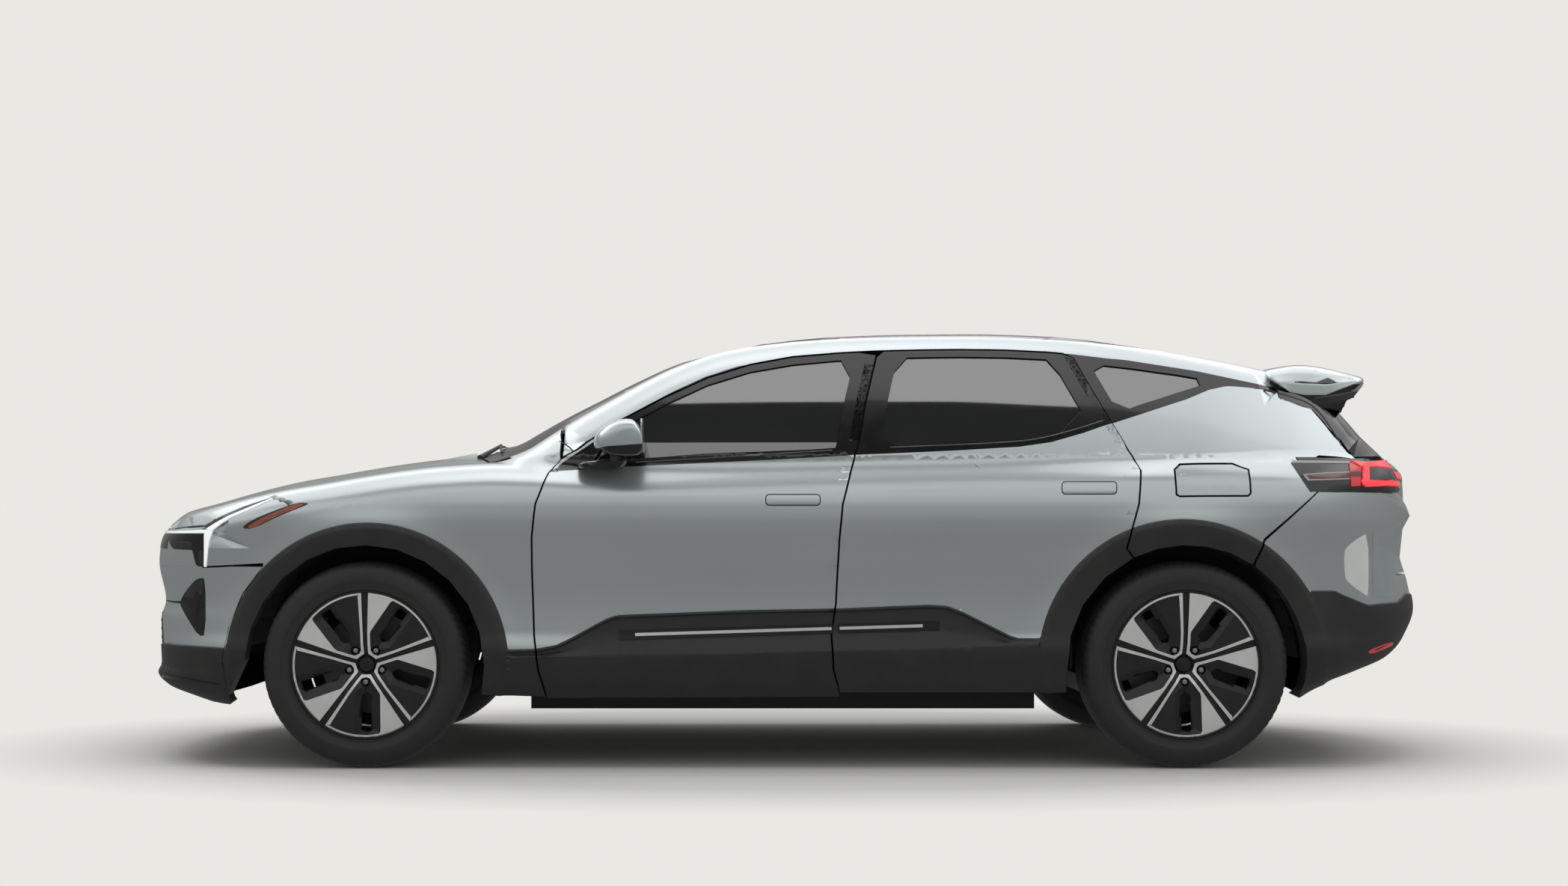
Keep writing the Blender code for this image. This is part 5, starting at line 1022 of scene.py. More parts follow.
def tread_wave(radius, height, angle):
    """Cross cuts in the shoulders: narrow slots, SIPES times round, that fade out on the side wall."""
    edge = np.abs(height)
    shoulder = ramp(edge, *SIPE_EDGE) * ramp(radius, *SIPE_FADE)
    phase = (angle * SIPES / (2 * np.pi) + edge * SIPE_SLANT) % 1
    return SIPE_DEPTH * shoulder * (phase < SIPE_SHARE)


def shaded(obj, angle=32):
    """Smooth shading, with edges sharper than the angle kept sharp."""
    obj.data.shade_smooth()
    obj.data.set_sharp_from_angle(angle=math.radians(angle))
    return obj


def ride_on(obj, body):
    """The object moves with a body."""
    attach(obj, body)
    return obj


def at_wheel(name, form, material, side, axle_x, body, angle=32):
    """A turned piece put in its place at one wheel."""
    points, faces = form
    obj = mesh_object(name, place_wheel(points, side, axle_x), faces, material, True)
    return ride_on(shaded(obj, angle), body)


WHEEL_PLACES = [(place, side, axle_x) for place, axle_x in (("front", FRONT_AXLE_X), ("rear", REAR_AXLE_X))
                for side in ("left", "right")]
CASTING = 0.012
TYRE_STEPS = 4 * SIPES
TURNED = (("barrel", spin(BARREL, 72), WHEEL_BLACK), ("disc", spin(DISC, 64), CAST_IRON),
          ("cap", spin(CAP, 32), GLOSS_BLACK), ("nuts", nuts(), NUT_STEEL))
TYRE = spin(tyre_profile(), TYRE_STEPS, tread_wave)
for place, side, axle_x in WHEEL_PLACES:
    name, body = f"{place}_{side}", f"wheel_{place}_{side}"
    face = mesh_object(f"wheel_face_{name}", place_wheel(FACE_POINTS, side, axle_x), FACE_TRIANGLES, None)
    finish_faces(face, (MACHINED, WHEEL_DARK, WHEEL_BLACK), FACE_FINISH)
    face.data.update()
    thick = face.modifiers.new("casting", "SOLIDIFY")
    thick.thickness, thick.offset = CASTING, -1.0
    ride_on(shaded(face, 25), body)
    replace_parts(face, f"rim_{name}")
    for piece, form, material in TURNED:
        at_wheel(f"wheel_{piece}_{name}", form, material, side, axle_x, body)
    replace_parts(at_wheel(f"tyre_tread_{name}", TYRE, RUBBER, side, axle_x, body, 35), f"tyre_{name}")
print("four wheels, each tyre", len(TYRE[1]) * 2, "triangles")

# %% [markdown]
# ## Trim that lies on the skin
# Handles, lamps, seams and strips follow the body's surface. Their outlines were read from the photograph as
# picture points, so each one is placed by a straight ray: it starts outside the car, goes on until it enters the
# skin, and the point is lifted a little along the slope. A pad is rings of such points from an outline in to a
# spine. A ribbon is a strip of them along a path. Both get a back, so that they are closed bodies.

# %% Rays to the skin
RAY_STEPS = 120
SIDE_START_Y, SIDE_END_Y = -1.04, -0.25
END_START_X, END_WAY = 2.6, 1.4
TOP_START_Z, TOP_WAY = 1.75, 1.2


def first_hit(start, way, lift=0.0):
    """Where straight rays first enter the skin: even steps from start to start + way, then halving, then out
    along the slope by the lift."""
    share = np.linspace(0, 1, RAY_STEPS)
    first = np.maximum(np.argmax([skin(*(start + s * way).T) < 0 for s in share], axis=0), 1)
    low, high = share[first - 1], share[first]
    for _ in range(12):
        middle = (low + high) / 2
        inside = skin(*(start + middle[:, None] * way).T) < 0
        low, high = np.where(inside, low, middle), np.where(inside, middle, high)
    p = start + high[:, None] * way
    return p + unit(gradient(p)) * np.reshape(lift, (-1, 1))


def placed(points, start, way, lift):
    """Rays for a whole grid of points, given back in the grid's own shape."""
    lift = np.broadcast_to(lift, points.shape[:-1])
    return first_hit(start, way, lift).reshape(*points.shape[:-1], 3)


def seen_at(pixels, y):
    """Where picture points lie at a given y, on the camera's own lines of sight."""
    near = (y - CAMERA_AT[1]) / PLANE_DEPTH
    x = CAMERA_AT[0] + (plane_x(pixels[..., 0]) - CAMERA_AT[0]) * near
    z = CAMERA_AT[2] + (plane_z(pixels[..., 1]) - CAMERA_AT[2]) * near
    return np.stack([x, y + 0 * x, z], -1).reshape(-1, 3)


def from_side(pixels, lift=0.0):
    """Picture points put on the car's left side, as the camera sees them."""
    start, end = seen_at(pixels, SIDE_START_Y), seen_at(pixels, SIDE_END_Y)
    return placed(pixels, start, end - start, lift)


def from_end(sign):
    """Points given as (y, z), put on the front (sign -1) or the rear (sign 1) of the car."""
    def place(points, lift=0.0):
        y, z = points[..., 0].ravel(), points[..., 1].ravel()
        start = np.stack([sign * END_START_X + 0 * y, y, z], -1)
        return placed(points, start, np.array([-sign * END_WAY, 0, 0]), lift)
    return place


def from_above(points, lift=0.0):
    """Points given as (x, y), put on the top of the car."""
    x, y = points[..., 0].ravel(), points[..., 1].ravel()
    return placed(points, np.stack([x, y, TOP_START_Z + 0 * x], -1), np.array([0, 0, -TOP_WAY]), lift)


# %% Pads and ribbons


def rounded(outline, rounds=2, closed=True):
    """Cuts the corners of an outline by a quarter of each side, again and again."""
    p = np.array(outline, float)
    for _ in range(rounds):
        near, far = (p, np.roll(p, -1, axis=0)) if closed else (p[:-1], p[1:])
        new = np.stack([near * 0.75 + far * 0.25, near * 0.25 + far * 0.75], 1).reshape(-1, p.shape[1])
        p = new if closed else np.concatenate([p[:1], new[1:-1], p[-1:]])
    return p


def spaced(path, count, closed=False):
    """Evenly spaced points along a path."""
    path = np.array(path, float)
    if closed:
        path = np.concatenate([path, path[:1]])
    far = np.concatenate([[0], np.cumsum(np.linalg.norm(np.diff(path, axis=0), axis=1))])
    at = np.linspace(0, far[-1], count, endpoint=not closed)
    return np.stack([np.interp(at, far, path[:, k]) for k in range(path.shape[1])], -1)


def corner_box(left, top, right, bottom, radius, steps=5):
    """A rectangle outline with round corners."""
    a = np.linspace(0, np.pi / 2, steps)
    centres = ((right - radius, top + radius), (right - radius, bottom - radius), (left + radius, bottom - radius),
               (left + radius, top + radius))
    return np.concatenate([np.array(c) + radius * np.stack([np.sin(a + k * np.pi / 2), -np.cos(a + k * np.pi / 2)],
                                                           -1) for k, c in enumerate(centres)])


PAD_BACK = 0.004


def capped(rings, count):
    """The faces of a closed body made of rings: the grid between them and a flat face at each end."""
    last = (rings - 1) * count
    return grid_faces(rings, count, close_columns=True).tolist() \
        + [list(range(count)), list(range(last, last + count))]


def pad(outline, lift, place=from_side, spine=None, edge=0.12, count=96, rounds=1, crown=0.0):
    """A closed plate on the skin: rings from a spine out to the outline, raised by the lift, then over the edge
    and back underneath. The share of a ring says how far out it lies from the spine."""
    rim = spaced(rounded(outline, rounds), count, closed=True)
    middle = rim.mean(0)
    a, b = (middle, middle) if spine is None else np.array(spine, float)
    along = b - a
    t = np.clip((rim - a) @ along / max(along @ along, 1e-12), 0, 1)[:, None]
    core = a + t * along
    rings = ((0.35, lift + crown), (0.7, lift + crown * 0.6), (1 - edge, lift), (1 - edge / 3, lift * 0.8),
             (1.0, lift * 0.2), (1.0, -PAD_BACK), (0.35, -PAD_BACK))
    share, height = (np.array(v)[:, None] for v in zip(*rings))
    return place(core + share[..., None] * (rim - core), height + 0 * t[:, 0]), capped(len(rings), count)


def shell(outer, inner):
    """A closed body between two grids of points: both sheets and the rim that joins them."""
    rows, columns = outer.shape[:2]
    total = rows * columns
    sheet = grid_faces(rows, columns)
    border = np.concatenate([np.arange(columns), columns * np.arange(2, rows + 1) - 1,
                             total - 2 - np.arange(columns - 1), columns * np.arange(rows - 2, 0, -1)])
    after = np.roll(border, -1)
    rim = np.stack([border, border + total, after + total, after], -1)
    return np.concatenate([outer.reshape(-1, 3), inner.reshape(-1, 3)]), \
        np.concatenate([sheet, sheet[:, ::-1] + total, rim])


def ribbon(path, width, lift, place=from_side, count=60, rounds=2, back=PAD_BACK):
    """A strip on the skin along a path, `width` wide, or with a width for each end and place between."""
    line_points = spaced(rounded(path, rounds, closed=False), count)
    way = unit(np.gradient(line_points, axis=0))
    across = np.stack([-way[:, 1], way[:, 0]], -1)
    widths = np.interp(np.linspace(0, 1, count), np.linspace(0, 1, np.size(width)), np.atleast_1d(width))
    shares, heights = np.array([-0.5, -0.42, 0.0, 0.42, 0.5]), lift * np.array([0.4, 1.0, 1.0, 1.0, 0.4])
    grid = line_points + shares[:, None, None] * widths[:, None] * across
    return shell(place(grid, np.repeat(heights[:, None], count, 1)), place(grid, -back))


def sheet_between(upper, lower, lift, place=from_side, columns=60, rows=6, back=PAD_BACK):
    """A plate between an upper and a lower path, with straight rulings between points of the same number."""
    a, b = spaced(upper, columns), spaced(lower, columns)
    share = np.linspace(0, 1, rows)[:, None, None]
    grid = a + (b - a) * share
    return shell(place(grid, lift), place(grid, -back))


def pair(name, form, material, body="body", angle=32):
    """A piece of the left side and its mirror image on the right. SIDE in the body's name becomes each side."""
    points, faces = form
    for side, flip in (("left", 1), ("right", -1)):
        obj = mesh_object(f"{name}_{side}", points.reshape(-1, 3) * (1, flip, 1), faces, material, weld=True)
        ride_on(shaded(obj, angle), body.replace("SIDE", side))


def single(name, form, material, body="body", angle=32):
    """One piece made of points and faces."""
    points, faces = form
    return ride_on(shaded(mesh_object(name, points, faces, material, weld=True), angle), body)


def tube(path, radius, sides=10, rounds=2, count=40):
    """A round bar along a path, with closed ends. Its ring at each point stands square to the path."""
    p = spaced(rounded(path, rounds, closed=False), count)
    way = unit(np.gradient(p, axis=0))
    helper = np.where(np.abs(way[:, 2:]) > 0.9, [[1.0, 0, 0]], [[0, 0, 1.0]])
    side_way = unit(np.cross(way, helper))
    up = np.cross(side_way, way)
    a = 2 * np.pi * np.arange(sides) / sides
    radii = np.interp(np.linspace(0, 1, count), np.linspace(0, 1, np.size(radius)), np.atleast_1d(radius))
    ring = np.cos(a)[:, None] * side_way[:, None] + np.sin(a)[:, None] * up[:, None]
    points = p[:, None] + ring * radii[:, None, None]
    return points.reshape(-1, 3), capped(count, sides)


# %% [markdown]
# ## Handles, side marker and sill
# The door handles lie flush in the doors, so each is a thin raised plate inside a dark seam. The sill has a
# recessed panel with one bright strip in it. Both are cut where the doors part, because each half swings with
# its own door.

# %% Side trim
DARK_SEAM = make_satin("dark_seam", (0.004, 0.004, 0.004), (0.008, 0.008, 0.008), 0.5)
BRIGHT_TRIM = make_satin("bright_trim", (0.74, 0.745, 0.75), (0.84, 0.845, 0.85), 0.24, 0.5)
DARK_CHROME = make_satin("dark_chrome", (0.16, 0.16, 0.165), (0.24, 0.24, 0.245), 0.22, 0.8)
DARK_PLASTIC = make_satin("dark_plastic", (0.022, 0.022, 0.023), (0.034, 0.034, 0.035), 0.45)
AMBER_LENS = make_satin("amber_marker_lens", (0.30, 0.075, 0.050), (0.38, 0.10, 0.066), 0.25)
HANDLES = (("front_door", 1023, 660, 1097, 676), ("rear_door", 1419, 643, 1493.5, 661))
for door, left, top, right, bottom in HANDLES:
    spine = ((left + 9, (top + bottom) / 2), (right - 9, (top + bottom) / 2))
    pair(f"{door}_handle_seam", pad(corner_box(left, top, right, bottom, 5), 0.0006, spine=spine, rounds=0),
         DARK_SEAM, f"{door}_SIDE")
    inner = corner_box(left + 1.2, top + 1.2, right - 1.2, bottom - 1.2, 4)
    pair(f"{door}_handle", pad(inner, 0.0022, spine=spine, rounds=0, crown=0.001), PAINT, f"{door}_SIDE")

MARKER_RIM = ((321.5, 706.3), (335.8, 695), (366, 682.5), (397, 671.6), (414.9, 672.2), (405, 676.7), (372, 690),
              (337.8, 706.9))
MARKER_LENS = ((328.6, 705.7), (337.8, 706.3), (371, 689), (401, 677.7), (408.2, 672.8), (396, 673.8), (374.5, 681.8),
               (342, 696))
pair("side_marker_rim", pad(MARKER_RIM, 0.0012, spine=((345, 699), (392, 678))), DARK_PLASTIC)
pair("side_marker_lens", pad(MARKER_LENS, 0.0022, spine=((348, 698.5), (390, 680))), AMBER_LENS)

SILL_X, SILL_TOP, SILL_FOOT = (827.2, 1256.3), (842.2, 829.5), (855.0, 842.2)
STRIP_X, STRIP_Y = (849.0, 1233.4), (848.0, 836.3)
SILL_PARTS = (("front_door", 827.2, 1113.5, 849.0, 1111.5), ("rear_door", 1120.5, 1256.3, 1122.5, 1233.4))
for door, left, right, *strip_ends in SILL_PARTS:
    upper, lower = ([(x, np.interp(x, SILL_X, level)) for x in (left, right)] for level in (SILL_TOP, SILL_FOOT))
    pair(f"{door}_sill_panel", sheet_between(upper, lower, -0.0025, back=0.012), DARK_SEAM, f"{door}_SIDE")
    strip = [(x, np.interp(x, STRIP_X, STRIP_Y)) for x in strip_ends]
    pair(f"{door}_sill_strip", ribbon(strip, 4.4, 0.003, rounds=0, back=0.004), BRIGHT_TRIM, f"{door}_SIDE")
pair("front_door_belt_line", ribbon([(850, 617.6), (1040, 606.5), (1113, 602)], 1.6, 0.003), DARK_CHROME,
     "front_door_SIDE")
pair("rear_door_belt_line", ribbon([(1190, 598), (1264, 595.3), (1349, 591.3), (1391, 586.5), (1433, 575.5),
                                    (1474, 562.5)], 1.6, 0.003), DARK_CHROME, "rear_door_SIDE")
pair("screen_post_seam", ribbon([(748, 589.5), (757, 594), (766, 602)], 1.2, 0.0008), DARK_SEAM)
print("side trim done")

# %% [markdown]
# ## Nose
# The headlamp is a dark housing in an angular frame: a white light blade runs along its top, another stands at
# its outer end, and a third follows the edge of the bonnet back over the wing. Below it the bumper's corner has
# a deep air intake, and a glossy lip closes the foot.

# %% Headlamps and intakes


def make_lamp(name, colour, glow, roughness=0.18):
    """A lens that is lit from behind a little: its own colour with a weak glow. On the red reflector, which is no
    lamp, the glow is painted light.
    """
    material, tree = new_material(name)
    ribs = tree.noise(0.004, 1.0)
    dim = tuple(0.82 * c for c in colour)
    shade = tree.mix(ribs, dim, colour)
    return finished(material, tree, base_color=shade, emission_color=shade, emission_strength=glow,
                    roughness=roughness + ribs * 0.06, coat_weight=0.6, coat_roughness=0.03)


LAMP_WHITE = make_lamp("white_light_blade", (0.86, 0.87, 0.87), 0.55)
HOUSING_UPPER = ((226, 713.2), (250, 713.0), (276.2, 713.6))
HOUSING_LOWER = ((226, 722), (228.5, 729), (232.7, 733.8), (257.2, 734.9), (259.6, 744), (262, 754), (265.4, 756.9),
                 (275.2, 757.2))
from_front = from_end(-1)
HEADLAMP = (
    ("housing", GLOSS_BLACK, sheet_between(HOUSING_UPPER, HOUSING_LOWER, 0.0015)),
    ("inner_housing", GLOSS_BLACK, sheet_between([(-0.74, 0.852), (-0.47, 0.853)], [(-0.74, 0.797), (-0.49, 0.800)],
                                                 0.0015, from_front)),
    ("projector", DARK_PLASTIC, pad(((233, 724), (257, 723.4), (257.4, 733.4), (235, 732.6)), 0.0035)),
    ("lower_projector", DARK_PLASTIC, pad(((264, 738), (271.6, 734), (272.6, 754), (267, 755.5)), 0.0035)),
    ("top_blade", LAMP_WHITE, ribbon([(228, 711.4), (250, 711.2), (284, 709.6)], (2.6, 3.2, 5.0), 0.004)),
    ("front_blade", LAMP_WHITE, ribbon([(-0.76, 0.8585), (-0.60, 0.8600), (-0.465, 0.8600)], 0.008, 0.004,
                                       from_front)),
    ("end_blade", LAMP_WHITE, sheet_between([(273.4, 713), (273.4, 735), (273.2, 757.4)],
                                            [(284.0, 710), (279.2, 724), (275.8, 757.4)], 0.004)))
for part, material, form in HEADLAMP:
    pair(f"headlamp_{part}", form, material)
WING_LOWER = ((283.5, 709), (297, 698.3), (309.2, 691.2), (337.8, 679), (364.3, 666.8))
WING_UPPER = ((276, 706.8), (290, 698), (305, 690), (337, 676.6), (363.5, 666.2))
WING_TOP = ((272, 703.4), (297, 689.6), (325.6, 677.5), (359, 666.4))
pair("wing_blade", sheet_between(WING_UPPER, WING_LOWER, 0.003), LAMP_WHITE)
pair("wing_slot", sheet_between(WING_TOP, WING_UPPER, 0.002), GLOSS_BLACK)
pair("nose_line", ribbon([(234, 706.6), (256, 703.6), (272, 702.6)], (1.0, 1.8), 0.0012), DARK_SEAM)

NOSE_PARTS = (
    ("corner_intake", WHEEL_BLACK, pad(((240.9, 803), (248, 790), (260.3, 775.7), (266.4, 772.4), (274.6, 772.8),
                                        (275, 849), (265.4, 849.7), (252, 829), (240.9, 809.3)), 0.0012,
                                       spine=((265, 785), (266, 835)))),
    ("intake_upper_vane", DARK_PLASTIC, pad(((243.5, 799.4), (252, 787), (262, 776.5), (266.6, 774), (272.4, 774.2),
                                             (271.8, 799.6)), 0.0035, spine=((262, 784), (265, 796)))),
    ("intake_shelf", WHEEL_BLACK, pad(((249.6, 801), (274, 801), (274.4, 812), (262, 813.6), (250.5, 810.6)), 0.0025,
                                      spine=((256, 806), (268, 806)))),
    ("intake_slot", WHEEL_BLACK, ribbon([(223, 802.4), (234, 804.6), (243, 804.6)], (1.6, 3.4), 0.0015)),
    ("lip_line", GLOSS_BLACK, ribbon([(219, 902.2), (240, 905.6), (262, 909.4), (294, 913.6)], (3.4, 3.2, 1.4), 0.009,
                                     back=0.0)))
for name, material, form in NOSE_PARTS:
    pair(name, form, material)
single("lower_grille", sheet_between([(-0.60, 0.556), (0.0, 0.560), (0.60, 0.556)],
                                     [(-0.66, 0.430), (0.0, 0.430), (0.66, 0.430)], 0.002, from_front), WHEEL_BLACK)
GRILLE_HEIGHTS = (0.462, 0.494, 0.526)
for number, z in enumerate(GRILLE_HEIGHTS):
    single(f"grille_slat_{number}", ribbon([(-0.60, z), (0.0, z), (0.60, z)], 0.011, 0.0032, from_front),
           DARK_PLASTIC)
print("nose done")

# %% [markdown]
# ## Tail
# The corner lamp is a dark lens with a slim inner blade, two small red fields and a bright red frame that is
# open towards the rear. On the tailgate the frames are joined by a slim bar. The spoiler is one lofted body:
# the same closed section is carried across the car and sinks towards its ends.

# %% Tail lamps and spoiler
LAMP_RED = make_lamp("bright_red_light", (0.86, 0.045, 0.065), 0.75)
LENS_RED = make_lamp("red_reflector", (0.62, 0.020, 0.025), 0.20)
LENS_DARK = make_lamp("dark_red_lens", (0.11, 0.008, 0.008), 0.05)
LENS_SMOKE = make_lamp("smoked_lens", (0.055, 0.060, 0.060), 0.0)
STRIP_GREY = make_satin("lamp_trim_grey", (0.36, 0.37, 0.37), (0.44, 0.45, 0.45), 0.30)
from_rear = from_end(1)
TAIL_LAMP = (
    ("lens", GLOSS_BLACK, sheet_between([(1725.5, 618.5), (1770, 618.5)], [(1751.6, 657.4), (1775, 656.6)], 0.0016)),
    ("top_strip", STRIP_GREY, ribbon([(1726.5, 617.8), (1732, 617.4), (1768, 617.6), (1804, 618.2)], 3.2, 0.003)),
    ("blade_rim", STRIP_GREY, sheet_between([(1741, 634.2), (1770, 632), (1804, 630.4)],
                                            [(1748, 642.6), (1770, 642), (1804, 640.6)], 0.003)),
    ("blade", LENS_DARK, sheet_between([(1745.5, 635.4), (1770, 633.6), (1804, 632.2)],
                                       [(1750.5, 640.6), (1770, 640.2), (1804, 639.0)], 0.0042)),
    ("field", LENS_RED, sheet_between([(1803, 619.2), (1819, 619.8)], [(1805.6, 650.4), (1817.8, 649.6)], 0.004)),
    ("field_band", LENS_DARK, sheet_between([(1803.6, 631), (1818, 631)], [(1804, 637), (1818, 637)], 0.0055)),
    ("smoke", LENS_SMOKE, sheet_between([(1829, 625), (1852, 623.4)], [(1829, 643), (1858, 641)], 0.004)),
    ("frame_side", LAMP_RED, ribbon([(1825, 620), (1825, 648)], 8.4, 0.009, rounds=0)),
    ("frame_top", LAMP_RED, ribbon([(1824, 622), (1840, 620.4), (1852, 619.4)], (7.6, 7.0), 0.009, rounds=0)),
    ("frame_foot", LAMP_RED, ribbon([(1824, 647.2), (1845, 646.4), (1860, 645.2)], (7.6, 7.0), 0.009, rounds=0)),
    ("rear_top", LAMP_RED, ribbon([(-0.800, 1.109), (-0.73, 1.108), (-0.668, 1.107)], 0.020, 0.009, from_rear)),
    ("rear_foot", LAMP_RED, ribbon([(-0.835, 1.041), (-0.75, 1.040), (-0.668, 1.040)], 0.020, 0.009, from_rear)))
for part, material, form in TAIL_LAMP:
    pair(f"tail_lamp_{part}", form, material)
single("tailgate_light_bar", ribbon([(-0.64, 1.075), (-0.3, 1.078), (0.0, 1.079), (0.3, 1.078), (0.64, 1.075)], 0.026,
                                    0.003, from_rear, count=90), LAMP_RED, "tailgate")
single("tailgate_bar_frame", ribbon([(-0.652, 1.075), (-0.3, 1.078), (0.0, 1.079), (0.3, 1.078), (0.652, 1.075)],
                                    0.048, 0.0012, from_rear, count=90), GLOSS_BLACK, "tailgate")

SPOILER_TOP = ((1.846, 1.478), (1.846, 1.497), (1.900, 1.508), (1.966, 1.5185), (2.048, 1.5155), (2.131, 1.4985),
               (2.200, 1.4815), (2.238, 1.4715), (2.2450, 1.4605))
SPOILER_UNDER = ((2.2450, 1.4500), (2.222, 1.4400), (2.196, 1.428), (2.1750, 1.398), (2.153, 1.338), (2.05, 1.372),
                 (1.95, 1.418))
SPOILER_FLOOR = [(2.236, 1.446), (2.194, 1.4425), (2.088, 1.4060), (2.005, 1.4060), (1.93, 1.4240), (1.87, 1.455)]
UNDER_ROOF = [(1.852, 1.470), (1.95, 1.475), (2.05, 1.470), (2.15, 1.466), (2.238, 1.458)]
SPOILER_FOOT = ((1.85, 1.430), (2.00, 1.405), (2.09, 1.405), (2.194, 1.442), (2.2465, 1.449))
SPOILER_ENDS = ((0.0, 0.0), (0.30, 0.0), (0.50, 0.0), (0.575, 0.03), (0.612, 0.22), (0.636, 0.62), (0.640, 0.95))
SPOILER_TIP_X, SPOILER_FRONT_X, SPOILER_DRAW = 2.20, 1.95, 0.8


def spoiler(profile, drop, count=61):
    """The section at y is the middle one: its height over the foot line shrinks towards the ends, and the whole
    ring follows the roof's crown and the bow of the rear window."""
    half = spaced(SPOILER_ENDS, (count + 1) // 2)
    y = np.concatenate([-half[:0:-1, 0], half[:, 0]])[:, None]
    sink = np.concatenate([half[:0:-1, 1], half[:, 1]])[:, None]
    x, z = np.array(profile, float).T
    foot = np.interp(x, *zip(*SPOILER_FOOT)) - drop
    high = np.where(z > foot, foot + (z - foot) * (1 - sink), z)
    reach = np.minimum(x, SPOILER_TIP_X) + np.maximum(x - SPOILER_TIP_X, 0) * (1 - sink)
    reach = reach + np.maximum(SPOILER_FRONT_X - reach, 0) * sink * SPOILER_DRAW
    bowed = ROOF_MIDDLE_X + (reach - ROOF_MIDDLE_X) / (1 + GLASS_BOW * y * y)
    points = np.stack([bowed, y + 0 * bowed, high - ROOF_CROWN * y * y], -1)
    return points.reshape(-1, 3), capped(count, len(profile))


silver_section = rounded(SPOILER_TOP, 2, closed=False).tolist() + SPOILER_FLOOR
single("spoiler", spoiler(silver_section, 0.0), PAINT, "tailgate", 28)
under_section = UNDER_ROOF + rounded(SPOILER_UNDER, 2, closed=False).tolist()
single("spoiler_underside", spoiler(under_section, 0.05), GLOSS_BLACK, "tailgate")
pair("quarter_edge_line", ribbon([(1690, 520.5), (1728, 530.5), (1750, 538.5), (1763, 550), (1775, 566), (1790, 589),
                                  (1793.4, 596)], 1.6, 0.001), DARK_SEAM)

CHANNEL = ((1829, 711.5), (1815, 719.5), (1801, 730), (1796.4, 738), (1797.6, 771), (1802, 778.5), (1825, 795.6),
           (1829.5, 796.5))
# The channel is an opening through the bumper. The pale pad over it is painted light: it stands for the bright
# background seen through the opening.
CHANNEL_PAINTED_LIGHT = make_satin("channel_painted_light", (0.60, 0.62, 0.62), (0.70, 0.72, 0.715), 0.5)
# The recess beside the channel is painted shade: a grey darker than the silver paint, where the bumper falls back.
RECESS_PAINTED_SHADE = make_satin("recess_painted_shade", (0.26, 0.29, 0.30), (0.31, 0.34, 0.35), 0.5)
pair("rear_channel", pad(CHANNEL, 0.0012, spine=((1815, 735), (1815, 780))), CHANNEL_PAINTED_LIGHT)
pair("rear_channel_recess", sheet_between([(1835, 711), (1835, 797)], [(1864, 700.5), (1864, 798)], 0.0012),
     RECESS_PAINTED_SHADE)
# The reflector takes the red lamp lens. Its weak glow is painted light, because a reflector is no lamp.
pair("rear_reflector", pad(((1826, 869), (1858, 856.5), (1862, 859.5), (1856, 864), (1830, 874)), 0.007,
                           spine=((1834, 868.5), (1854, 860.5))), LENS_RED)
single("plate_recess", sheet_between([(-0.28, 0.680), (0.28, 0.680)], [(-0.26, 0.560), (0.26, 0.560)], 0.0015,
                                     from_rear), DARK_PLASTIC)
print("tail done")

# %% [markdown]
# ## Mirrors and wipers
# A mirror's housing is a closed outline, read from the photograph, carried outwards from the door and drawn in
# towards its outer end. It is silver above a line and black below, and it stands on a black foot. A wiper is a
# round blade that rests on the windscreen, with an arm from the cowl.

# %% Mirrors
MIRROR_OUTLINE = ((793.8, 600), (793.6, 586), (799.5, 575.5), (811, 566.5), (826, 560.5), (843, 559.0), (850, 563),
                  (856, 571), (859.4, 580), (860.5, 594), (860.5, 602), (855, 609), (845, 610.2), (817, 610.2),
                  (806, 605.0), (800, 600.5))
MIRROR_CENTRE = (850, 588)
MIRROR_RINGS = ((-0.872, 0.70), (-0.876, 0.86), (-0.886, 0.95), (-0.905, 1.0), (-0.950, 1.0), (-0.990, 0.985),
                (-1.020, 0.955), (-1.040, 0.905), (-1.052, 0.83), (-1.059, 0.70), (-1.0615, 0.50))
MIRROR_LINE = ((780, 599.5), (794, 599.3), (802, 598.8), (807.5, 596.4), (857.5, 592.9), (870, 592.4))
FOOT_OUTLINE = ((771.8, 617.0), (804.8, 614.2), (841.4, 611.6), (839.6, 616.5), (834.3, 624.6), (825.4, 628.8),
                (803.9, 629.5), (787.9, 626.6), (771.8, 626.4))
FOOT_RINGS = ((-0.86, 1.0), (-0.905, 1.0), (-0.930, 0.94), (-0.944, 0.82), (-0.949, 0.6))


def outward(outline, centre, rings, count=72, rounds=2):
    """An outline of picture points carried out from the door: ring k lies at its own y, scaled about a centre."""
    rim = spaced(rounded(outline, rounds), count, closed=True)
    y, scale = (np.array(v)[:, None] for v in zip(*rings))
    pixels = np.array(centre) + scale[..., None] * (rim - np.array(centre))
    faces = grid_faces(len(rings), count, close_columns=True)
    last = (len(rings) - 1) * count
    return seen_at(pixels, y), faces, [list(range(count)), list(range(last, last + count))]


def mirror_line(p):
    """How far below the line between silver and black a place shows, in pixels of the photograph."""
    x, z = side_view(p)
    across = CENTRE_PIXEL[0] + (x - CAMERA_AT[0]) / METRES_PER_PIXEL
    down = CENTRE_PIXEL[1] - (z - CAMERA_AT[2]) / METRES_PER_PIXEL
    return down - np.interp(across, *zip(*MIRROR_LINE))


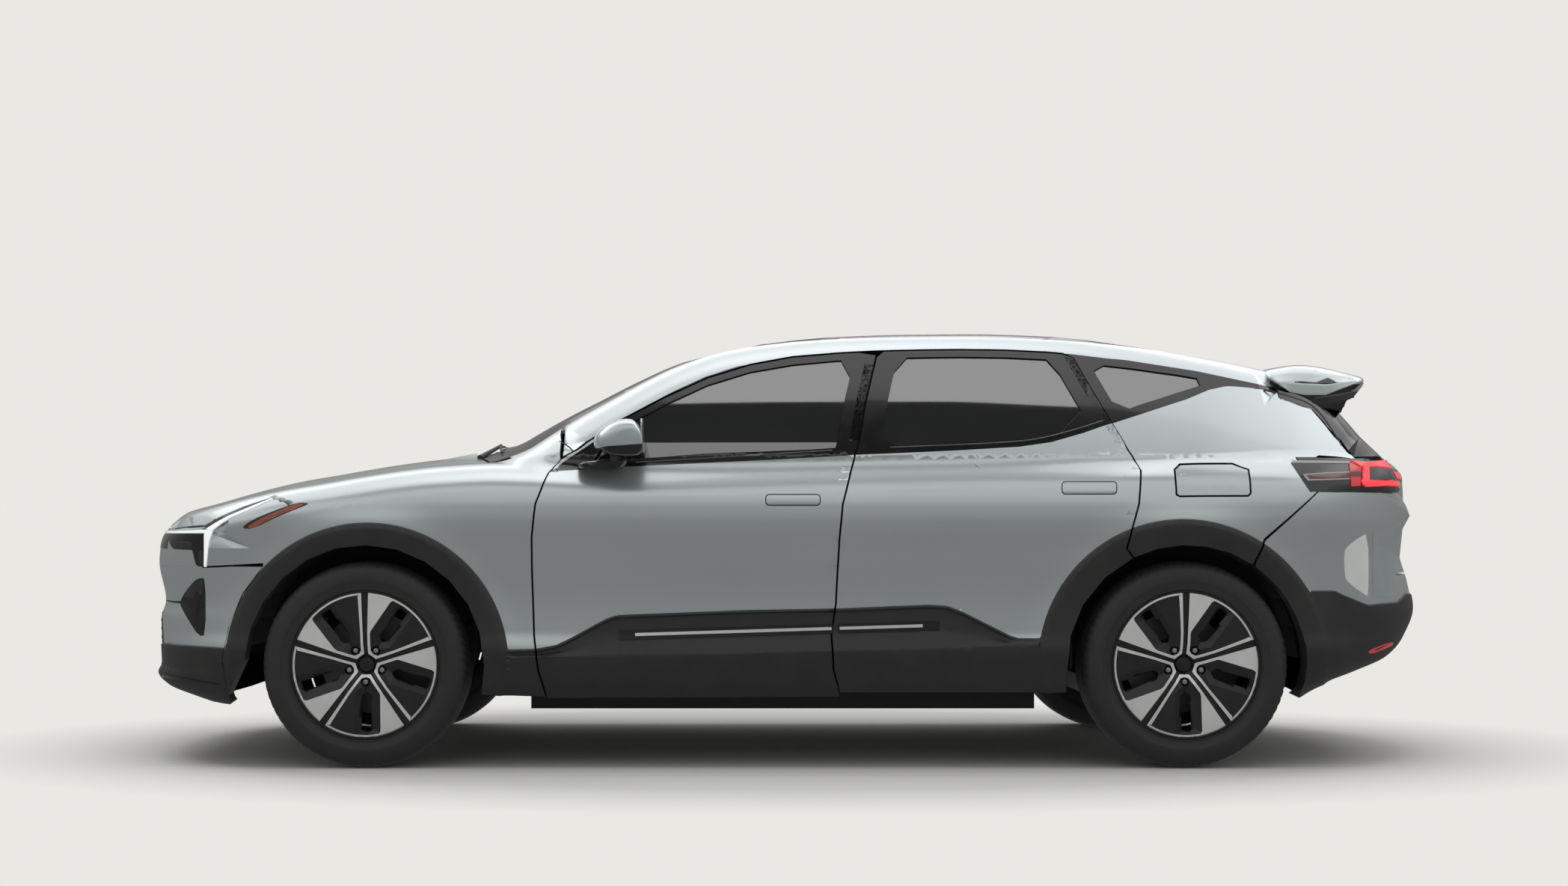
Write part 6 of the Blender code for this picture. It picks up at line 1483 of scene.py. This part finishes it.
points, faces, ends = outward(MIRROR_OUTLINE, MIRROR_CENTRE, MIRROR_RINGS)
count = len(points)
middles = np.array([points[e].mean(0) for e in ends])
fans = [[count + k, e[i], e[(i + 1) % len(e)]] for k, e in enumerate(ends) for i in range(len(e))]
triangles = np.concatenate([faces[:, [0, 1, 2]], faces[:, [0, 2, 3]], np.array(fans)])
points = np.concatenate([points, middles])
points, triangles, _ = slice_at(points, triangles, np.zeros(len(points), bool), mirror_line)
lower_part = mirror_line(points[triangles].mean(1)) > 0
for side, flip in (("left", 1), ("right", -1)):
    housing = mesh_object(f"mirror_housing_{side}", points * (1, flip, 1), triangles, None)
    finish_faces(housing, (PAINT, GLOSS_BLACK), lower_part)
    bm = bmesh.new()
    bm.from_mesh(housing.data)
    bmesh.ops.recalc_face_normals(bm, faces=bm.faces)
    bm.to_mesh(housing.data)
    bm.free()
    ride_on(shaded(housing, 34), f"front_door_{side}")
    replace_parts(housing, f"mirror_{side}")
foot_points, foot_faces, foot_ends = outward(FOOT_OUTLINE, (806, 620), FOOT_RINGS)
pair("mirror_foot", (foot_points, foot_faces.tolist() + foot_ends), GLOSS_BLACK, "front_door_SIDE")
pair("mirror_stalk", tube([(-0.655, -0.935, 1.118), (-0.655, -0.938, 1.150)], 0.020, 20, 0, 6), DARK_PLASTIC,
     "front_door_SIDE")


def rear_plate(x, y0, y1, z0, z1, radius, thickness):
    """A plate that faces the rear, with round corners."""
    outline = corner_box(y0, z0, y1, z1, radius, 8)
    rings = ((x, 0.94), (x, 0.99), (x - 0.0015, 1.0), (x - thickness, 1.0))
    middle = outline.mean(0)
    points = np.concatenate([np.concatenate([np.full((len(outline), 1), at), middle + s * (outline - middle)], 1)
                             for at, s in rings])
    return points, capped(len(rings), len(outline))


MIRROR_GLASS = make_glass("mirror_glass", (0.30, 0.31, 0.32), 1.0)
pair("mirror_glass", rear_plate(-0.553, -1.046, -0.890, 1.150, 1.268, 0.030, 0.006), MIRROR_GLASS, "front_door_SIDE")

dress("cowl", "body", reach=0.006, base=DARK_PLASTIC)
WIPERS = (((-1.098, -0.62), (-1.128, -0.35), (-1.136, -0.06)), ((-1.136, 0.0), (-1.128, 0.30), (-1.100, 0.56)))
for number, path in enumerate(WIPERS):
    blade = from_above(spaced(np.array(path), 24), 0.014)
    single(f"wiper_blade_{number}", tube(blade, (0.003, 0.007, 0.003), 8, 0, 24), DARK_PLASTIC)
    arm_foot = from_above(np.array([[-1.19, path[0][1] + 0.06]]), 0.004)
    arm_path = np.concatenate([arm_foot, blade[12:13] + (0, 0, 0.008)])
    single(f"wiper_arm_{number}", tube(arm_path, (0.011, 0.007), 8, 0, 10), DARK_PLASTIC)
print("mirrors and wipers done")

# %% [markdown]
# ## Cabin
# Seats are padded blocks sewn from panels. Each block is a sphere whose points are pushed out towards a box, so
# that it is crowned on every face and soft at the corners. Sewn channels are narrow valleys across the face, and
# a piping ridge runs round the edge where two panels meet. The blocks are shaped by formula, without a
# simulation, because only their crowned outline shows behind the dark glass.

# %% Seat fabric and cushions


def make_fabric(name, dark, light):
    """Woven cloth: two crossed waves for the threads, and soft blotches for wear."""
    material, tree = new_material(name)
    place = tree.place()
    threads = [tree.node("ShaderNodeTexWave", {"bands_direction": axis},
                         {"Vector": place, "Scale": 260.0, "Distortion": 0.6}) for axis in ("X", "Y")]
    weave = threads[0] * 0.5 + threads[1] * 0.5
    wear = tree.noise(0.07, 3.0)
    colour = tree.mix(weave * 0.4 + wear * 0.6, dark, light)
    return finished(material, tree, base_color=colour, roughness=0.80 + wear * 0.12, normal=tree.bump(weave, 0.0004))


SEAT_CLOTH = make_fabric("seat_cloth", (0.055, 0.056, 0.060), (0.090, 0.092, 0.097))
SEAT_SIDE = make_satin("seat_leatherette", (0.026, 0.026, 0.028), (0.040, 0.040, 0.043), 0.50, 0.0, 0.0022, 0.0003)
CHANNEL_DEPTH, CHANNEL_HALF = 0.006, 0.007
PIPING_HEIGHT, PIPING_HALF = 0.0028, 0.045


def cushion(centre, half, lean=0.0, squareness=0.42, channels=(), rows=44, columns=88):
    """Point (u, v): the direction cos u cos v, cos u sin v, sin u, each raised to the power `squareness` and
    multiplied by the half size. Channels sink the upper face at shares of the length. Then the block leans back
    by an angle and moves to its centre."""
    u = np.linspace(-np.pi / 2, np.pi / 2, rows)[:, None]
    v = np.linspace(-np.pi, np.pi, columns, endpoint=False)[None, :]
    way = np.stack([np.cos(u) * np.cos(v), np.cos(u) * np.sin(v), np.sin(u) + 0 * v], -1)
    p = np.sign(way) * np.abs(way) ** squareness * np.array(half)
    seam = PIPING_HEIGHT * np.exp(-(way[..., 2] / PIPING_HALF) ** 2)
    p[..., :2] *= (1 + seam / max(half[:2]))[..., None]
    for share in channels:
        sink = CHANNEL_DEPTH * np.exp(-((p[..., 0] - share * half[0]) / CHANNEL_HALF) ** 2)
        p[..., 2] -= sink * np.clip(way[..., 2] * 3, 0, 1)
    c, s = math.cos(lean), math.sin(lean)
    x, z = p[..., 0] * c + p[..., 2] * s, -p[..., 0] * s + p[..., 2] * c
    points = np.stack([x, p[..., 1], z], -1).reshape(-1, 3) + np.array(centre)
    return points, grid_faces(rows, columns, close_columns=True)


def padded(name, form, material):
    """A cushioned piece that stands in the cabin."""
    points, faces = form
    obj = mesh_object(name, points, faces, material, weld=True)
    obj.data.shade_smooth()
    ride_on(obj, "body")
    return obj


SEAT_Y = 0.37
UPRIGHT = math.radians(-74)
SEAT_BLOCKS = (("cushion", (-0.055, 0.575), (0.245, 0.165, 0.070), math.radians(4), (-0.5, 0.0, 0.5)),
               ("back", (0.295, 0.865), (0.305, 0.155, 0.062), UPRIGHT, (-0.6, -0.2, 0.2, 0.6)),
               ("head", (0.448, 1.280), (0.078, 0.125, 0.044), UPRIGHT, ()))
BOLSTERS = (("cushion_bolster", (-0.055, 0.200, 0.585), (0.235, 0.045, 0.078), math.radians(4)),
            ("back_bolster", (0.275, 0.195, 0.850), (0.270, 0.046, 0.078), UPRIGHT))
BENCH_PLACES = (-0.40, 0.0, 0.40)
BENCH_BLOCKS = (("cushion", (0.745, 0.615), (0.205, 0.197, 0.072), 2, 0.34, (-0.3, 0.3), SEAT_CLOTH),
                ("back", (1.085, 0.925), (0.285, 0.197, 0.068), -68, 0.34, (-0.4, 0.0, 0.4), SEAT_CLOTH),
                ("head", (1.245, 1.245), (0.068, 0.105, 0.040), -76, 0.42, (), SEAT_SIDE))


def bevelled_box(name, low, high, material, bevel=0.012, body="body"):
    """A box between two corners with its edges rounded."""
    low, high = np.array(low, float), np.array(high, float)
    corners = np.array([(x, y, z) for x in (0, 1) for y in (0, 1) for z in (0, 1)])
    points = low + corners * (high - low)
    faces = [[0, 1, 3, 2], [4, 6, 7, 5], [0, 4, 5, 1], [2, 3, 7, 6], [0, 2, 6, 4], [1, 5, 7, 3]]
    obj = mesh_object(name, points, faces, material, weld=True)
    edge = obj.modifiers.new("edge", "BEVEL")
    edge.width, edge.segments = bevel, 3
    return ride_on(shaded(obj, 40), body)


for side, sign in (("left", -1), ("right", 1)):
    blocks = [padded(f"seat_{part}_{side}", cushion((x, sign * SEAT_Y, z), half, lean, 0.42, channels), SEAT_CLOTH)
              for part, (x, z), half, lean, channels in SEAT_BLOCKS]
    for part, (x, y, z), half, lean in BOLSTERS:
        for edge, flip in (("inner", -1), ("outer", 1)):
            padded(f"seat_{part}_{edge}_{side}", cushion((x, sign * SEAT_Y + flip * y, z), half, lean, 0.55),
                   SEAT_SIDE)
    bevelled_box(f"seat_base_{side}", (-0.24, sign * SEAT_Y - 0.19, 0.347), (0.16, sign * SEAT_Y + 0.19, 0.53),
                 DARK_PLASTIC)
    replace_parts(blocks[0], f"front_seat_{side}")
for number, y in enumerate(BENCH_PLACES):
    blocks = [padded(f"bench_{part}_{number}", cushion((x, y, z), half, math.radians(lean), square, channels), cloth)
              for part, (x, z), half, lean, square, channels, cloth in BENCH_BLOCKS]
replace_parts(blocks[0], "rear_bench")
bevelled_box("bench_base", (0.62, -0.56, 0.347), (0.90, 0.56, 0.56), DARK_PLASTIC)

# %% Dashboard and wheel
DASH_OUTLINE = ((-0.983, 0.62), (-0.983, 1.050), (-0.90, 1.072), (-0.80, 1.074), (-0.665, 1.042), (-0.603, 0.970),
                (-0.612, 0.930), (-0.650, 0.900), (-0.662, 0.860), (-0.720, 0.780), (-0.758, 0.62))
CONSOLE_OUTLINE = ((-0.80, 0.347), (-0.80, 0.755), (-0.62, 0.735), (-0.44, 0.640), (-0.36, 0.618), (-0.30, 0.612),
                   (0.16, 0.604), (0.212, 0.575), (0.218, 0.347))


def carried_across(outline, half_width, steps=41, rounds=2, end=0.02):
    """A side outline carried across the car. Near both ends it draws in towards its middle, in a quarter round."""
    rim = rounded(outline, rounds)
    y = np.linspace(-half_width, half_width, steps)[:, None, None]
    left = np.clip((half_width - np.abs(y)) / end, 0, 1)
    draw = 1 - 0.06 * (1 - np.sqrt(1 - (1 - left) ** 2))
    middle = rim.mean(0)
    flat = middle + draw * (rim - middle)
    points = np.concatenate([flat[..., :1], y + 0 * flat[..., :1], flat[..., 1:]], -1)
    return points.reshape(-1, 3), capped(steps, len(rim))


dash = padded("dashboard_pad", carried_across(DASH_OUTLINE, 0.713), SEAT_SIDE)
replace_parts(dash, "dashboard")
single("dashboard_console", carried_across(CONSOLE_OUTLINE, 0.098, 21), DARK_PLASTIC, angle=40)
padded("console_armrest", cushion((0.04, 0.0, 0.612), (0.150, 0.085, 0.020), 0.0, 0.35, (0.0,)), SEAT_SIDE)
single("dashboard_seam", tube([(-0.6045, -0.70, 0.956), (-0.6045, 0.70, 0.956)], 0.004, 8, 0, 12), DARK_CHROME)
bevelled_box("centre_display", (-0.612, -0.17, 0.885), (-0.592, 0.17, 1.072), GLOSS_BLACK, 0.005)
bevelled_box("driver_display", (-0.640, -0.49, 0.975), (-0.626, -0.25, 1.068), GLOSS_BLACK, 0.004)

STEER_CENTRE = np.array((-0.53, -0.37, 0.93))
STEER_LEAN = math.radians(-25)
STEER_AXIS = np.array((math.cos(STEER_LEAN), 0, -math.sin(STEER_LEAN)))
STEER_UP = np.array((math.sin(STEER_LEAN), 0, math.cos(STEER_LEAN)))
RIM_RADIUS, GRIP_RADIUS = 0.171, 0.0135


def on_wheel(across, up, out):
    """Places in the steering wheel's own plane, and out along its axis towards the driver."""
    ways = ((across, (0, 1, 0)), (up, STEER_UP), (out, STEER_AXIS))
    return STEER_CENTRE + sum(np.multiply.outer(far, way) for far, way in ways)


a = np.linspace(0, 2 * np.pi, 97)[:-1]
b = np.linspace(0, 2 * np.pi, 17)[:-1]
aa, bb = np.meshgrid(a, b, indexing="ij")
grip = GRIP_RADIUS * (1 - 0.10 * np.cos(2 * bb))
reach = RIM_RADIUS + grip * np.cos(bb)
ring = on_wheel(reach * np.sin(aa), reach * np.cos(aa), grip * np.sin(bb))
steering = single("steering_rim", (ring.reshape(-1, 3), grid_faces(96, 16, True, True)), SEAT_SIDE, "steering_wheel",
                  50)
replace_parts(steering, "steering_wheel")
for number, (across, up) in enumerate(((0.165, 0.0), (-0.165, 0.0), (0.0, -0.165))):
    single(f"steering_spoke_{number}", tube([on_wheel(0.2 * across, 0.2 * up, -0.012), on_wheel(across, up, 0.0)],
                                            (0.019, 0.012), 12, 0, 12), DARK_PLASTIC, "steering_wheel")
hub, hub_faces = cushion((0, 0, 0), (0.056, 0.066, 0.024), 0.0, 0.5)
single("steering_hub", (on_wheel(hub[:, 1], hub[:, 0], hub[:, 2]), hub_faces), SEAT_SIDE, "steering_wheel",
       50)
single("steering_column", tube([on_wheel(0, 0, -0.24), on_wheel(0, 0, -0.045)], 0.030, 20, 0, 8), DARK_PLASTIC)
print("cabin done")

# %% [markdown]
# ## What stays as the CAD model has it
# The floor, the axles and the knuckles are seen only from below or through an open door or bonnet. Their CAD
# shapes are right, so they only get better materials.

# %% Finishes for the CAD nodes
FLOOR_BLACK = make_satin("underbody_coating", (0.012, 0.012, 0.012), (0.020, 0.020, 0.020), 0.75, 0.0, 0.003, 0.0006)
CHASSIS_STEEL = make_satin("chassis_steel", (0.05, 0.05, 0.052), (0.10, 0.10, 0.10), 0.48, 0.55, 0.002, 0.0002)
MODULE_GREY = make_satin("equipment_cover", (0.030, 0.031, 0.032), (0.050, 0.051, 0.052), 0.55, 0.0, 0.002, 0.0003)
NODE_FINISHES = {"underbody": FLOOR_BLACK, "front_structure": FLOOR_BLACK, "front_module": MODULE_GREY,
                 "front_axle": CHASSIS_STEEL, "rear_axle": CHASSIS_STEEL, "knuckle_left": CHASSIS_STEEL,
                 "knuckle_right": CHASSIS_STEEL}
for node, finish in NODE_FINISHES.items():
    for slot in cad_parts[node].material_slots:
        slot.material = finish
SHIELD = ((0.236, -0.1000), (0.236, -0.1040), (0.055, -0.1040), (0.055, -0.1000))
for place, side, axle_x in WHEEL_PLACES:
    at_wheel(f"dust_shield_{place}_{side}", spin(SHIELD, 64), WHEEL_BLACK, side, axle_x,
             f"knuckle_{side}" if place == "front" else "body")
print("nodes finished:", ", ".join(NODE_FINISHES))
